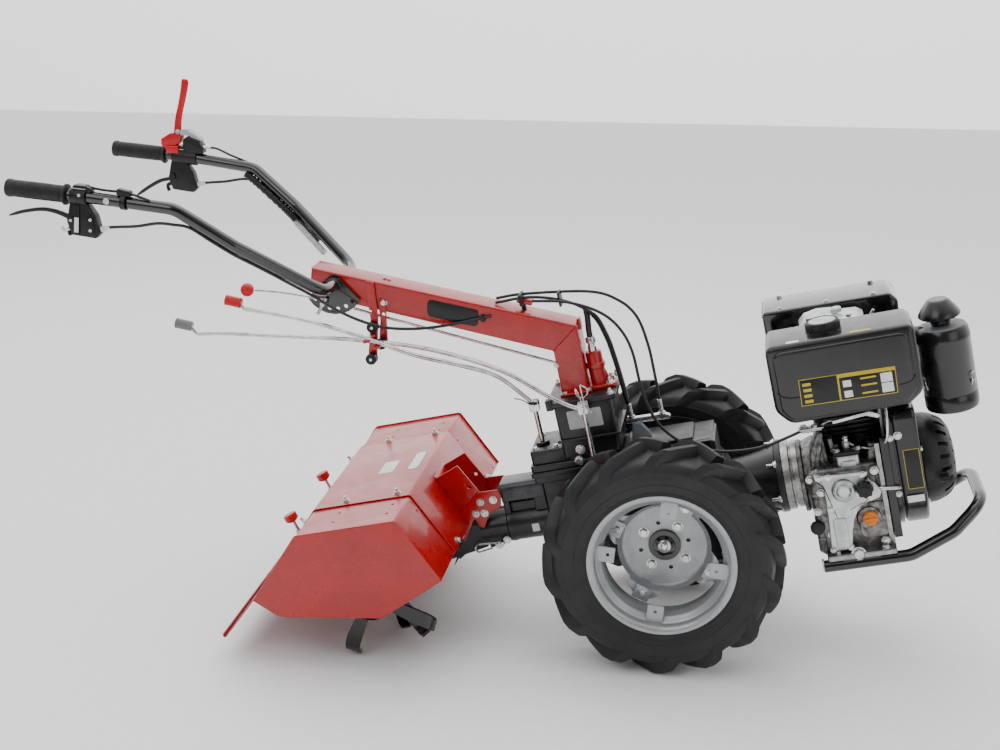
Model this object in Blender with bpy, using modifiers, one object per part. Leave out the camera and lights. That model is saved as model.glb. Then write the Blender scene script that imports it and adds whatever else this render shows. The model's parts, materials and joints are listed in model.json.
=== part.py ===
"""Walking tractor: two driven wheels, an air-cooled diesel engine in front, a gearbox and a rotary
tiller behind, steered from a long boom with a U-shaped handlebar.

The machine is drawn level, in a frame whose origin is the middle of the wheel axle, with +X to the
front, +Y to the left and +Z up. That frame is then pitched nose-up until the wheels and the tine
tips stand on the floor together, which is how the machine parks. All sizes are in metres.
"""

import math

import bmesh
import bpy
from mathutils import Vector

SEAT = 0.0003  # gap left between pieces that touch
RUNNING = 0.0005  # gap between a turning piece and the piece that carries it

# Wheels
TYRE_RADIUS = 0.280
TYRE_WIDTH = 0.130
TREAD_WIDTH = 0.108
SIDEWALL_RADIUS = 0.222
WHEEL_TRACK = 0.4706
WHEEL_STEPS = 32
WHEEL_AXIS = (0, 1, 0)
RIM_RADIUS = 0.170
RIM_WIDTH = 0.118
RIM_THICKNESS = 0.003
BEAD_RADIUS = 0.153
RIM_WELL_RADIUS = 0.138
DISC_RADIUS = 0.100
DISC_Y = 0.170
DISC_THICKNESS = 0.005
LUG_RADIUS = 0.124
LUG_ANGLE = 54.0
RIM_LUG_Y = 0.205
TAB_ANGLE = 72.0
TAB_Y = 0.272
HUB_RADIUS = 0.038
HUB_FLANGE_RADIUS = 0.078
HALF_SHAFT_RADIUS = 0.022

# Gearbox and power take-off
AXLE_HOUSING_HALF = 0.100
AXLE_HOUSING_RADIUS = 0.044
GEARBOX_X = (-0.120, 0.150)
GEARBOX_Z = (-0.110, 0.205)
GEARBOX_HALF = 0.072
BELL_Z = 0.062
BELL_FRONT = 0.2915
BELL_RADII = (0.056, 0.079)
BELL_FLANGE_RADIUS = 0.087
BELL_FLANGE_THICKNESS = 0.007
COLUMN_X = (-0.210, -0.065)
COLUMN_HALF = 0.080
COLUMN_TOP = 0.357
COLUMN_FLANGE = 0.012
PTO_X = (-0.290, -0.120)
PTO_Z = (0.000, 0.240)
PTO_HALF = 0.070
PTO_TUBE_END = -0.392
PTO_TUBE_Z = 0.045
PTO_TUBE_RADIUS = 0.047
PTO_COVER_TOP = 0.157
PTO_COVER_HALF = 0.036

# Engine
ADAPTER_FRONT = 0.330
ADAPTER_RADIUS = 0.083
CRANK_Z = 0.055
CRANKCASE_X = (0.345, 0.536)
CRANKCASE_Y = (-0.135, 0.130)
CRANKCASE_Z = (-0.104, 0.112)
CRANKCASE_NOSE_RADIUS = 0.086
ENGINE_FOOT_HALF = 0.165
ENGINE_FOOT_THICKNESS = 0.013
CYLINDER_X = (0.380, 0.530)
CYLINDER_Y = (-0.050, 0.085)
CYLINDER_TOP = 0.300
HEAD_X = (0.350, 0.560)
HEAD_Y = (-0.046, 0.085)
HEAD_TOP = 0.418
SHROUD_FRONT = 0.606
SHROUD_RADIUS = 0.143
SHROUD_TOP = 0.225
RECOIL_FRONT = 0.683
RECOIL_RADII = (0.106, 0.088)
TANK_X = (0.308, 0.630)
TANK_Y = (-0.205, -0.052)
TANK_Z = (0.252, 0.437)
CAP_X = 0.440
CAP_RADIUS = 0.0375
CAP_HEIGHT = 0.024
MUFFLER_X = (0.302, 0.612)
MUFFLER_Y = (0.100, 0.245)
MUFFLER_Z = (0.300, 0.428)
FILTER_X = 0.696
FILTER_Y = -0.025
FILTER_RADIUS = 0.060
FILTER_Z = (0.176, 0.372)
FILTER_CAP_TOP = 0.436
FILTER_CAP_RADIUS = 0.047
SHEET = 0.004  # wall of the tank and of the muffler
BUMPER_RADIUS = 0.0145
BUMPER_HALF = 0.150
BUMPER_FRONT = 0.722
BUMPER_FRONT_Z = -0.034
BUMPER_FRONT_HALF = 0.100

# Tiller
ROTOR_X = -0.680
ROTOR_Z = 0.043
TINE_RADIUS = 0.173
TINES_PER_FLANGE = 4
FLANGE_PLACES = (0.115, 0.225, 0.330)
TINE_WIDTH = 0.032
TINE_THICKNESS = 0.007
TINE_FOOT = 0.036
ROTOR_TUBE_RADIUS = 0.026
ROTOR_FLANGE_RADIUS = 0.060
ROTOR_END = 0.345
GEARCASE_HALF = 0.040
GEARCASE_BOSS_RADIUS = 0.082
GEARCASE_HUB_HALF = 0.070
HOOD_WIDTH = 0.765
HOOD_CENTRE_WIDTH = 0.446
HOOD_LAP = 0.060
HOOD_SHEET = 0.003
HOOD_REAR_LOW = (-0.942, 0.094)
HOOD_REAR_TOP = (-0.799, 0.237)
HOOD_FRONT_TOP = (-0.556, 0.237)
HOOD_FRONT_LOW = (-0.482, 0.077)
HOOD_BOTTOM_FRONT = (-0.645, 0.005)
HOOD_BOTTOM_REAR = (-0.889, 0.044)
FLAP_LENGTH = 0.104
FLAP_SLOPE = 41.0
FLAP_SHEET = 0.004
HINGE_RADIUS = 0.006
HINGE_OFFSET = 0.012
HINGE_PLACES = (-0.190, 0.0, 0.190)
HINGE_LENGTH = 0.040
ADJUSTER_Y = 0.140
ADJUSTER_ROD_RADIUS = 0.005
ADJUSTER_KNOB_RADIUS = 0.017

# Boom, column and rods
BOOM_HALF = 0.0405
POST_X = (-0.184, -0.119)
BOOM_FRONT_TOP = 0.522
BOOM_ELBOW_LOW = 0.471
BOOM_REAR_TOP = (-0.714, 0.778)
BOOM_REAR_TIP = (-0.728, 0.740)
BOOM_REAR_LOW = (-0.679, 0.691)
GUIDE_TUBE_RADIUS = 0.0195
GUIDE_TUBE_TOP = 0.446
COUPLER_RADIUS = 0.013
COUPLER_TOP = 0.482
SHAFT_RADIUS = 0.006
SHIFT_SHAFT_X = -0.131
SHIFT_SHAFT_Y = -0.104
SHIFT_BOSS_TOP = 0.156
CLUTCH_ARM_TOP = 0.266
ROD_RADIUS = 0.007
THIN_ROD_RADIUS = 0.0035
BRACKET_Y = -0.066

# Handlebar
PIVOT_X = -0.667
PIVOT_Z = 0.730
BAR_RADIUS = 0.0145
BAR_HALF_LOW = 0.1285
BAR_HALF_MID = 0.2355
BAR_HALF_TOP = 0.2765
GRIP_HALF = 0.290
GRIP_RADIUS = 0.0190
GRIP_START = (-1.138, 1.089)
GRIP_END = (-1.281, 1.135)
CABLE_RADIUS = 0.0045
CLAMP_PLACES = {-1: 0.030, 1: 0.038}
LEVER_ROUTES = {-1: [(-0.095, 0.001), (-0.177, 0.006)], 1: [(-0.056, -0.033), (-0.130, -0.064)]}

TRACTOR = bpy.data.collections.new("walking_tractor")
CUTTERS = bpy.data.collections.new("cutters")


# Tools

def material(name, colour, roughness, metallic=0.0):
    made = bpy.data.materials.get(name)
    if made:
        return made
    made = bpy.data.materials.new(name)
    made.use_nodes = True
    shader = made.node_tree.nodes["Principled BSDF"]
    shader.inputs["Base Color"].default_value = (*colour, 1.0)
    shader.inputs["Roughness"].default_value = roughness
    shader.inputs["Metallic"].default_value = metallic
    return made


def red_paint():
    return material("red_enamel", (0.55, 0.016, 0.018), 0.28)


def black_paint():
    return material("black_enamel", (0.012, 0.012, 0.013), 0.35)


def cast_black():
    return material("black_cast_iron", (0.016, 0.016, 0.018), 0.50)


def cast_aluminium():
    return material("cast_aluminium", (0.42, 0.43, 0.44), 0.45, 1.0)


def zinc_steel():
    return material("zinc_plated_steel", (0.60, 0.60, 0.58), 0.30, 1.0)


def silver_paint():
    return material("silver_wheel_paint", (0.50, 0.50, 0.50), 0.40, 0.6)


def black_plastic():
    return material("black_plastic", (0.014, 0.014, 0.015), 0.45)


def tyre_rubber():
    return material("tyre_rubber", (0.020, 0.020, 0.021), 0.80)


def grip_rubber():
    return material("grip_rubber", (0.013, 0.013, 0.014), 0.70)


def tine_steel():
    return material("black_spring_steel", (0.015, 0.015, 0.016), 0.45)


def add_object(name, data, finish):
    made = bpy.data.objects.new(name, data)
    TRACTOR.objects.link(made)
    data.materials.clear()
    data.materials.append(finish)
    return made


def from_bmesh(name, shape, finish):
    mesh = bpy.data.meshes.new(name)
    shape.to_mesh(mesh)
    shape.free()
    return add_object(name, mesh, finish)


def baked(obj):
    """The object as one plain mesh, with its modifiers applied and its loose caps welded."""
    bpy.context.view_layer.update()
    graph = bpy.context.evaluated_depsgraph_get()
    mesh = bpy.data.meshes.new_from_object(obj.evaluated_get(graph))
    shape = bmesh.new()
    shape.from_mesh(mesh)
    bmesh.ops.remove_doubles(shape, verts=shape.verts, dist=1e-6)
    shape.to_mesh(mesh)
    shape.free()
    name, finish, place = obj.name, obj.data.materials[0], obj.matrix_world.copy()
    bpy.data.objects.remove(obj)
    made = add_object(name, mesh, finish)
    made.matrix_world = place
    return made


def smooth(obj, angle=35.0):
    obj.data.shade_smooth()
    obj.data.set_sharp_from_angle(angle=math.radians(angle))
    return obj


def box(name, x, y, z, finish, bevel=0.0, segments=1):
    """A box between two limits on each axis, with its edges rounded by bevel."""
    low, high = Vector((x[0], y[0], z[0])), Vector((x[1], y[1], z[1]))
    shape = bmesh.new()
    bmesh.ops.create_cube(shape, size=1.0)
    bmesh.ops.scale(shape, vec=high - low, verts=shape.verts)
    made = from_bmesh(name, shape, finish)
    made.location = (low + high) / 2
    if bevel:
        rounding = made.modifiers.new("round_edges", "BEVEL")
        rounding.width = bevel
        rounding.segments = segments
    return made


def cylinder(name, start, end, radius, finish, end_radius=None, sides=20):
    """A round bar or cone between two points."""
    start, end = Vector(start), Vector(end)
    shape = bmesh.new()
    bmesh.ops.create_cone(
        shape,
        cap_ends=True,
        segments=sides,
        radius1=radius,
        radius2=radius if end_radius is None else end_radius,
        depth=(end - start).length,
    )
    made = from_bmesh(name, shape, finish)
    made.rotation_euler = (end - start).to_track_quat("Z", "Y").to_euler()
    made.location = (start + end) / 2
    return made


def turned(name, profile, finish, centre, axis=(0, 1, 0), steps=48, closed=False):
    """A profile of (radius, height) points turned about an axis; it runs down its outer side."""
    mesh = bpy.data.meshes.new(name)
    count = len(profile)
    edges = [(i, i + 1) for i in range(count - 1)]
    if closed:
        edges.append((count - 1, 0))
    mesh.from_pydata([(radius, 0.0, height) for radius, height in profile], edges, [])
    made = add_object(name, mesh, finish)
    screw = made.modifiers.new("turn", "SCREW")
    screw.axis = "Z"
    screw.steps = steps
    screw.render_steps = steps
    screw.use_merge_vertices = True
    screw.merge_threshold = 0.00005
    made.rotation_euler = Vector(axis).to_track_quat("Z", "X").to_euler()
    made.location = centre
    return made


def plate(name, outline, y, finish):
    """An outline of (x, z) points given a thickness across the machine, from y[0] to y[1]."""
    curve = bpy.data.curves.new(name, "CURVE")
    curve.dimensions = "2D"
    curve.fill_mode = "BOTH"
    curve.extrude = (y[1] - y[0]) / 2
    spline = curve.splines.new("POLY")
    spline.points.add(len(outline) - 1)
    for point, (x, z) in zip(spline.points, outline):
        point.co = (x, z, 0.0, 1.0)
    spline.use_cyclic_u = True
    made = add_object(name, curve, finish)
    made.rotation_euler = (math.radians(90), 0.0, 0.0)
    made.location = (0.0, (y[0] + y[1]) / 2, 0.0)
    return baked(made)


def rounded(points, radius, steps=4):
    """The points of a path with each inner corner replaced by an arc of the given radius."""
    path = [Vector(points[0])]
    for before, corner, after in zip(points, points[1:], points[2:]):
        corner = Vector(corner)
        inward = (Vector(before) - corner).normalized()
        outward = (Vector(after) - corner).normalized()
        half = inward.angle(outward) / 2
        room = 0.45 * min((Vector(before) - corner).length, (Vector(after) - corner).length)
        reach = min(radius / math.tan(half), room)
        arc = reach * math.tan(half)
        centre = corner + (inward + outward).normalized() * (arc / math.sin(half))
        first = corner + inward * reach - centre
        last = corner + outward * reach - centre
        path += [centre + first.slerp(last, i / steps) * arc for i in range(steps + 1)]
    return path + [Vector(points[-1])]


def smooth_route(points, per_span=3):
    """A route through its points on a Catmull-Rom curve, with per_span points for each span."""
    ends = [2 * Vector(points[0]) - Vector(points[1])]
    ends += [Vector(point) for point in points]
    ends.append(2 * Vector(points[-1]) - Vector(points[-2]))
    route = []
    for a, b, c, d in zip(ends, ends[1:], ends[2:], ends[3:]):
        for i in range(per_span):
            t = i / per_span
            route.append(
                0.5 * (2 * b + (c - a) * t + (2 * a - 5 * b + 4 * c - d) * t ** 2
                       + (3 * b - a - 3 * c + d) * t ** 3)
            )
    return route + [ends[-2]]


def tube(name, points, radius, finish, resolution=3):
    """A round bar or cable that follows a path."""
    curve = bpy.data.curves.new(name, "CURVE")
    curve.dimensions = "3D"
    curve.bevel_depth = radius
    curve.bevel_resolution = resolution
    curve.use_fill_caps = True
    spline = curve.splines.new("POLY")
    spline.points.add(len(points) - 1)
    for point, place in zip(spline.points, points):
        point.co = (*place, 1.0)
    return add_object(name, curve, finish)


def fuse(name, pieces):
    """The pieces joined into one solid, with the finish of the first."""
    base, others = baked(pieces[0]), [baked(piece) for piece in pieces[1:]]
    for other in others:
        union = base.modifiers.new("join", "BOOLEAN")
        union.operation = "UNION"
        union.solver = "EXACT"
        union.object = other
    whole = baked(base)
    for other in others:
        bpy.data.objects.remove(other)
    whole.name = name
    return smooth(whole)


def cut(obj, cutter):
    """Takes the cutter out of the object, and keeps it as a hidden guide."""
    TRACTOR.objects.unlink(cutter)
    CUTTERS.objects.link(cutter)
    cutter.hide_render = True
    cutter.display_type = "WIRE"
    removal = obj.modifiers.new("cut", "BOOLEAN")
    removal.operation = "DIFFERENCE"
    removal.solver = "EXACT"
    removal.object = cutter
    return obj


def offset_outline(points, distance):
    """An open run of (x, z) points moved sideways, to the right of its direction, with mitred corners."""
    moved = []
    for i, (x, z) in enumerate(points):
        normals = []
        for a, b in ((i - 1, i), (i, i + 1)):
            if a >= 0 and b < len(points):
                run = Vector(points[b]) - Vector(points[a])
                normals.append(Vector((run.y, -run.x)).normalized())
        middle = sum(normals, Vector((0, 0))).normalized()
        reach = distance / middle.dot(normals[0])
        moved.append((x + middle.x * reach, z + middle.y * reach))
    return moved


def pivot(name, place, level):
    """An empty on a joint's axis, held by the level frame."""
    made = bpy.data.objects.new(name, None)
    made.empty_display_size = 0.05
    TRACTOR.objects.link(made)
    made.location = place
    made.parent = level
    return made


def hang_on(holder, pieces, place=(0, 0, 0)):
    """Parents pieces that were drawn in the level frame to an empty that stands at place in it."""
    for piece in pieces:
        piece.location = Vector(piece.location) - Vector(place)
        piece.parent = holder


# Wheels

def tyre(side, name):
    half, tread, bead = TYRE_WIDTH / 2, TREAD_WIDTH / 2, RIM_WIDTH / 2 - RIM_THICKNESS - SEAT
    seat = BEAD_RADIUS + RIM_THICKNESS + SEAT
    lip, crown = RIM_RADIUS + 0.004, TYRE_RADIUS - 0.006
    outer = [
        (lip, bead),
        (lip + (SIDEWALL_RADIUS - lip) * 7 / 16, half - 0.006),
        (SIDEWALL_RADIUS, half),
        (SIDEWALL_RADIUS + (crown - SIDEWALL_RADIUS) * 7 / 13, half - 0.004),
        (crown, tread + 0.002),
        (TYRE_RADIUS, tread - 0.006),
    ]
    profile = outer + [(radius, -height) for radius, height in reversed(outer)]
    profile += [(seat, -bead), (seat, bead)]
    made = turned(name, profile, tyre_rubber(), (0, side * WHEEL_TRACK / 2, 0),
                  steps=WHEEL_STEPS, closed=True)
    return smooth(baked(made))


def rim(side, name):
    half, wall = RIM_WIDTH / 2, RIM_THICKNESS
    well = half - 0.030
    profile = [
        (RIM_RADIUS, half),
        (RIM_RADIUS, half - wall),
        (BEAD_RADIUS + wall, half - wall),
        (BEAD_RADIUS + wall, well + 0.008),
        (RIM_WELL_RADIUS + wall, well),
        (RIM_WELL_RADIUS + wall, -well),
        (BEAD_RADIUS + wall, -well - 0.008),
        (BEAD_RADIUS + wall, wall - half),
        (RIM_RADIUS, wall - half),
        (RIM_RADIUS, -half),
        (BEAD_RADIUS, -half),
        (BEAD_RADIUS, -well - 0.008),
        (RIM_WELL_RADIUS, -well),
        (RIM_WELL_RADIUS, well),
        (BEAD_RADIUS, well + 0.008),
        (BEAD_RADIUS, half),
    ]
    centre = (0, side * WHEEL_TRACK / 2, 0)
    pieces = [turned(name, profile, silver_paint(), centre, WHEEL_AXIS, WHEEL_STEPS, True)]
    for first, reach, y, root in (
        (TAB_ANGLE, LUG_RADIUS - 0.004, TAB_Y, BEAD_RADIUS + 0.001),
        (LUG_ANGLE, LUG_RADIUS - 0.014, RIM_LUG_Y, RIM_WELL_RADIUS + 0.001),
    ):
        for i in range(4):
            tab = box("tab", (reach, root), (-0.003, 0.003), (-0.018, 0.018), silver_paint())
            angle = math.radians(first + 90 * i)
            middle = (reach + root) / 2
            tab.location = (middle * math.cos(angle), side * y, middle * math.sin(angle))
            tab.rotation_euler = (0, -angle, 0)
            pieces.append(tab)
    return fuse(name, pieces)


def hub(side, name):
    """Dished disc, hub and half shaft, as one turned piece about the axle."""
    disc_out, thick = DISC_Y + DISC_THICKNESS / 2, DISC_THICKNESS
    lug_out = RIM_LUG_Y - 0.003 - SEAT
    inner_end = AXLE_HOUSING_HALF + RUNNING
    profile = [
        (0.0, disc_out + 0.014),
        (0.014, disc_out + 0.014),
        (0.014, disc_out + 0.004),
        (HUB_RADIUS, disc_out + 0.004),
        (HUB_RADIUS, disc_out),
        (DISC_RADIUS, disc_out),
        (LUG_RADIUS - 0.010, lug_out),
        (LUG_RADIUS + 0.008, lug_out),
        (LUG_RADIUS + 0.008, lug_out - thick),
        (LUG_RADIUS - 0.008, lug_out - thick),
        (DISC_RADIUS + 0.002, disc_out - thick),
        (HUB_FLANGE_RADIUS, disc_out - thick),
        (HUB_FLANGE_RADIUS, disc_out - thick - 0.010),
        (HUB_RADIUS, disc_out - thick - 0.010),
        (HUB_RADIUS, inner_end + 0.012),
        (HALF_SHAFT_RADIUS, inner_end + 0.012),
        (HALF_SHAFT_RADIUS, inner_end),
        (0.0, inner_end),
    ]
    made = turned(name, profile, cast_black(), (0, 0, 0), axis=(0, side, 0), steps=24)
    return smooth(baked(made))


# Transmission

def gearbox_housing():
    return fuse("gearbox_housing", [
        box("case", GEARBOX_X, (-GEARBOX_HALF, GEARBOX_HALF), GEARBOX_Z, cast_black(), 0.010),
        cylinder("axle_tube", (0, -AXLE_HOUSING_HALF, 0), (0, AXLE_HOUSING_HALF, 0),
                 AXLE_HOUSING_RADIUS, cast_black(), sides=32),
    ])


def bell_housing():
    start = GEARBOX_X[1] + SEAT
    flange = BELL_FRONT - BELL_FLANGE_THICKNESS
    return fuse("bell_housing", [
        cylinder("cone", (start, 0, BELL_Z), (flange + 0.001, 0, BELL_Z), BELL_RADII[0],
                 cast_black(), BELL_RADII[1], 32),
        cylinder("flange", (flange, 0, BELL_Z), (BELL_FRONT, 0, BELL_Z), BELL_FLANGE_RADIUS,
                 cast_black(), sides=32),
    ])


def gear_column():
    low = GEARBOX_Z[1] + SEAT
    flange = COLUMN_TOP - COLUMN_FLANGE
    edge = 0.012
    return fuse("gear_column", [
        box("shaft_case", COLUMN_X, (-COLUMN_HALF, COLUMN_HALF), (PTO_Z[1] + SEAT, flange + 0.001),
            cast_black(), 0.006),
        box("foot", (PTO_X[1] + SEAT, COLUMN_X[1]), (-GEARBOX_HALF, GEARBOX_HALF), (low, 0.260),
            cast_black()),
        box("top_flange", (COLUMN_X[0] - edge, COLUMN_X[1] + edge),
            (-COLUMN_HALF - edge / 2, COLUMN_HALF + edge / 2), (flange, COLUMN_TOP), cast_black(),
            0.003),
    ])


def pto_housing():
    rear, front = PTO_X[0], PTO_X[1] - SEAT
    return fuse("pto_housing", [
        box("case", (rear + 0.012, front), (-PTO_HALF, PTO_HALF), PTO_Z, cast_black(), 0.006),
        box("step", (rear, front - 0.010), (-PTO_HALF - 0.006, PTO_HALF + 0.006),
            (PTO_COVER_TOP + 0.003, PTO_COVER_TOP + 0.030), cast_black(), 0.003),
        box("shift_boss", (SHIFT_SHAFT_X - 0.013, PTO_X[1] - 0.001), (SHIFT_SHAFT_Y - 0.014, -PTO_HALF + 0.002),
            (SHIFT_BOSS_TOP - 0.036, SHIFT_BOSS_TOP), cast_black()),
    ])


def pto_coupling():
    """The output tube that the tiller bolts to, with its clutch cover above it."""
    front = PTO_X[0] + 0.012 - SEAT
    return fuse("pto_coupling", [
        cylinder("tube", (PTO_TUBE_END, 0, PTO_TUBE_Z), (front, 0, PTO_TUBE_Z), PTO_TUBE_RADIUS,
                 cast_black(), sides=32),
        box("cover", (PTO_TUBE_END, front), (-PTO_COVER_HALF, PTO_COVER_HALF),
            (PTO_TUBE_Z + 0.02, PTO_COVER_TOP), cast_black(), 0.014),
    ])


# Engine

def engine_adapter():
    made = cylinder("engine_adapter", (BELL_FRONT + SEAT, 0, BELL_Z), (ADAPTER_FRONT, 0, BELL_Z),
                    ADAPTER_RADIUS, cast_aluminium(), sides=32)
    return smooth(made)


def crankcase():
    foot = CRANKCASE_Z[0] + ENGINE_FOOT_THICKNESS
    return fuse("crankcase", [
        box("case", CRANKCASE_X, CRANKCASE_Y, CRANKCASE_Z, cast_aluminium(), 0.014),
        cylinder("nose", (ADAPTER_FRONT + SEAT, 0, CRANK_Z), (CYLINDER_X[0] - 0.002, 0, CRANK_Z),
                 CRANKCASE_NOSE_RADIUS, cast_aluminium(), sides=32),
        box("feet", (0.360, 0.520), (-ENGINE_FOOT_HALF, ENGINE_FOOT_HALF), (CRANKCASE_Z[0], foot),
            cast_aluminium(), 0.003),
    ])


def side_cover():
    """The timing cover on the right of the crankcase, with its boss and its governor knob."""
    face = CRANKCASE_Y[0] - SEAT
    outline = [
        (0.362, 0.108), (0.362, -0.088), (0.430, -0.088), (0.434, 0.000), (0.452, 0.022),
        (0.492, 0.040), (0.492, 0.070), (0.478, 0.108),
    ]
    boss, knob, filler = (0.424, 0.062), (0.470, 0.064), (0.472, -0.018)
    return fuse("side_cover", [
        plate("cover", outline, (face - 0.018, face), zinc_steel()),
        cylinder("boss", (boss[0], face - 0.026, boss[1]), (boss[0], face - 0.010, boss[1]), 0.020,
                 zinc_steel()),
        cylinder("knob", (knob[0], face - 0.036, knob[1]), (knob[0], face - 0.010, knob[1]), 0.016,
                 zinc_steel()),
    ]), cylinder("oil_filler_cap", (filler[0], face - 0.016, filler[1]), (filler[0], face, filler[1]),
                 0.017, material("orange_plastic", (0.80, 0.17, 0.015), 0.4))


def cylinder_block():
    made = box("cylinder_block", CYLINDER_X, CYLINDER_Y, (CRANKCASE_Z[1] + SEAT, CYLINDER_TOP),
               cast_black(), 0.006)
    return smooth(baked(made))


def cylinder_head():
    made = box("cylinder_head", HEAD_X, HEAD_Y, (CYLINDER_TOP + SEAT, HEAD_TOP), cast_aluminium(),
               0.012)
    return smooth(baked(made))


def injection_pump():
    """The pump on the shoulder of the crankcase, below the tank."""
    y = CYLINDER_Y[0] - 0.034
    low = CRANKCASE_Z[1] + SEAT
    return fuse("injection_pump", [
        box("base", (0.400, 0.462), (CYLINDER_Y[0] - 0.062, CYLINDER_Y[0] - SEAT), (low, low + 0.028),
            cast_aluminium(), 0.004),
        cylinder("barrel", (0.431, y, low + 0.02), (0.431, y, low + 0.070), 0.012, cast_aluminium()),
    ])


def fan_shroud():
    """The housing round the flywheel fan, round below and square-shouldered above."""
    rear, front = CRANKCASE_X[1] + SEAT, SHROUD_FRONT
    return fuse("fan_shroud", [
        cylinder("drum", (rear, 0, CRANK_Z), (front, 0, CRANK_Z), SHROUD_RADIUS, black_plastic(),
                 sides=32),
        box("shoulders", (rear, front), (-SHROUD_RADIUS, SHROUD_RADIUS), (CRANK_Z, SHROUD_TOP),
            black_plastic(), 0.018),
        box("cowl", (rear, front - 0.020), CYLINDER_Y, (SHROUD_TOP - 0.010, CYLINDER_TOP),
            black_plastic(), 0.010),
    ])


def recoil_starter():
    made = cylinder("recoil_starter", (SHROUD_FRONT + SEAT, 0, CRANK_Z), (RECOIL_FRONT, 0, CRANK_Z),
                    RECOIL_RADII[0], black_plastic(), RECOIL_RADII[1], 32)
    return smooth(made)


def fuel_tank():
    bracket = box("bracket", (0.400, 0.500), (TANK_Y[1] - 0.004, HEAD_Y[0] - SEAT),
                  (CYLINDER_TOP + 0.02, HEAD_TOP - 0.030), black_paint())
    body = box("body", TANK_X, TANK_Y, TANK_Z, black_paint(), 0.024, 2)
    whole = fuse("fuel_tank", [body, bracket])
    inner = [(low + SHEET, high - SHEET) for low, high in (TANK_X, TANK_Y, TANK_Z)]
    y = (TANK_Y[0] + TANK_Y[1]) / 2
    cut(whole, box("tank_hollow", *inner, black_paint(), 0.021))
    neck = CAP_RADIUS - 0.012
    return cut(whole, cylinder("filler_neck", (CAP_X, y, TANK_Z[1] - 0.030), (CAP_X, y, TANK_Z[1] + 0.010),
                               neck, black_paint()))


def fuel_cap():
    y = (TANK_Y[0] + TANK_Y[1]) / 2
    low = TANK_Z[1] + SEAT
    made = cylinder("fuel_cap", (CAP_X, y, low), (CAP_X, y, low + CAP_HEIGHT), CAP_RADIUS,
                    black_plastic(), CAP_RADIUS - 0.003, 32)
    return smooth(made)


def muffler():
    """The muffler in its square guard, carried on the exhaust port of the head."""
    port = (0.450, 0.360)
    whole = fuse("muffler", [
        box("guard", MUFFLER_X, MUFFLER_Y, MUFFLER_Z, black_paint(), 0.012),
        cylinder("port", (port[0], HEAD_Y[1] + SEAT, port[1]), (port[0], MUFFLER_Y[0] + 0.01, port[1]),
                 0.024, black_paint()),
    ])
    inner = [(low + SHEET, high - SHEET) for low, high in (MUFFLER_X, MUFFLER_Y, MUFFLER_Z)]
    cut(whole, box("muffler_hollow", *inner, black_paint(), 0.010))
    outlet = (MUFFLER_X[0] + 0.060, MUFFLER_Z[0] + 0.045)
    return cut(whole, cylinder("outlet", (outlet[0], MUFFLER_Y[1] - 0.020, outlet[1]),
                               (outlet[0], MUFFLER_Y[1] + 0.020, outlet[1]), 0.018, black_paint()))


def air_cleaner():
    """Canister, its hat and the inlet elbow to the cylinder head."""
    low, high = FILTER_Z
    hat = FILTER_CAP_TOP
    profile = [
        (0.0, hat), (0.024, hat), (FILTER_CAP_RADIUS, hat - 0.026), (FILTER_CAP_RADIUS, hat - 0.042),
        (0.022, hat - 0.042), (0.022, high), (FILTER_RADIUS - 0.006, high),
        (FILTER_RADIUS, high - 0.006), (FILTER_RADIUS, low + 0.006), (FILTER_RADIUS - 0.006, low),
        (0.0, low),
    ]
    body = turned("body", profile, black_plastic(), (FILTER_X, FILTER_Y, 0), (0, 0, 1), 24)
    elbow = box("elbow", (HEAD_X[1] + SEAT, FILTER_X - 0.020), (FILTER_Y - 0.022, FILTER_Y + 0.040),
                (HEAD_TOP - 0.075, HEAD_TOP - 0.018 - 0.030), black_plastic(), 0.010)
    return fuse("air_cleaner", [body, elbow])


def front_bumper():
    """One bent tube: two legs under the engine feet and a loop in front of the starter."""
    y, z = BUMPER_HALF, CRANKCASE_Z[0] - BUMPER_RADIUS - SEAT
    front = BUMPER_FRONT_HALF
    leg = [(0.352, y, z), (0.548, y, z), (0.650, front + 0.7 * (y - front), -0.082),
           (BUMPER_FRONT, front, BUMPER_FRONT_Z)]
    path = [(x, -side, height) for x, side, height in leg] + list(reversed(leg))
    made = tube("front_bumper", rounded(path, 0.070, 3), BUMPER_RADIUS, black_paint(), 4)
    return smooth(baked(made))


# Tiller

def tiller_gearcase():
    """The chain case that runs back from the power take-off to the rotor, with its output hubs."""
    x, z, boss = ROTOR_X, ROTOR_Z, GEARCASE_BOSS_RADIUS
    start = PTO_TUBE_END - SEAT
    arm = [
        (start - 0.060, PTO_TUBE_Z - 0.040), (start - 0.060, HOOD_FRONT_LOW[1] - 0.019),
        (x + 0.020, z + boss - 0.003), (x, z), (x + 0.020, z - boss + 0.003),
    ]
    return fuse("tiller_gearcase", [
        cylinder("input", (start, 0, PTO_TUBE_Z), (start - 0.070, 0, PTO_TUBE_Z),
                 PTO_TUBE_RADIUS - 0.002, cast_black(), sides=32),
        plate("arm", arm, (-GEARCASE_HALF + 0.002, GEARCASE_HALF - 0.002), cast_black()),
        cylinder("boss", (x, -GEARCASE_HALF, z), (x, GEARCASE_HALF, z), boss, cast_black(), sides=32),
        cylinder("hubs", (x, -GEARCASE_HUB_HALF, z), (x, GEARCASE_HUB_HALF, z), 0.040, cast_black(),
                 sides=32),
    ])


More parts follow.
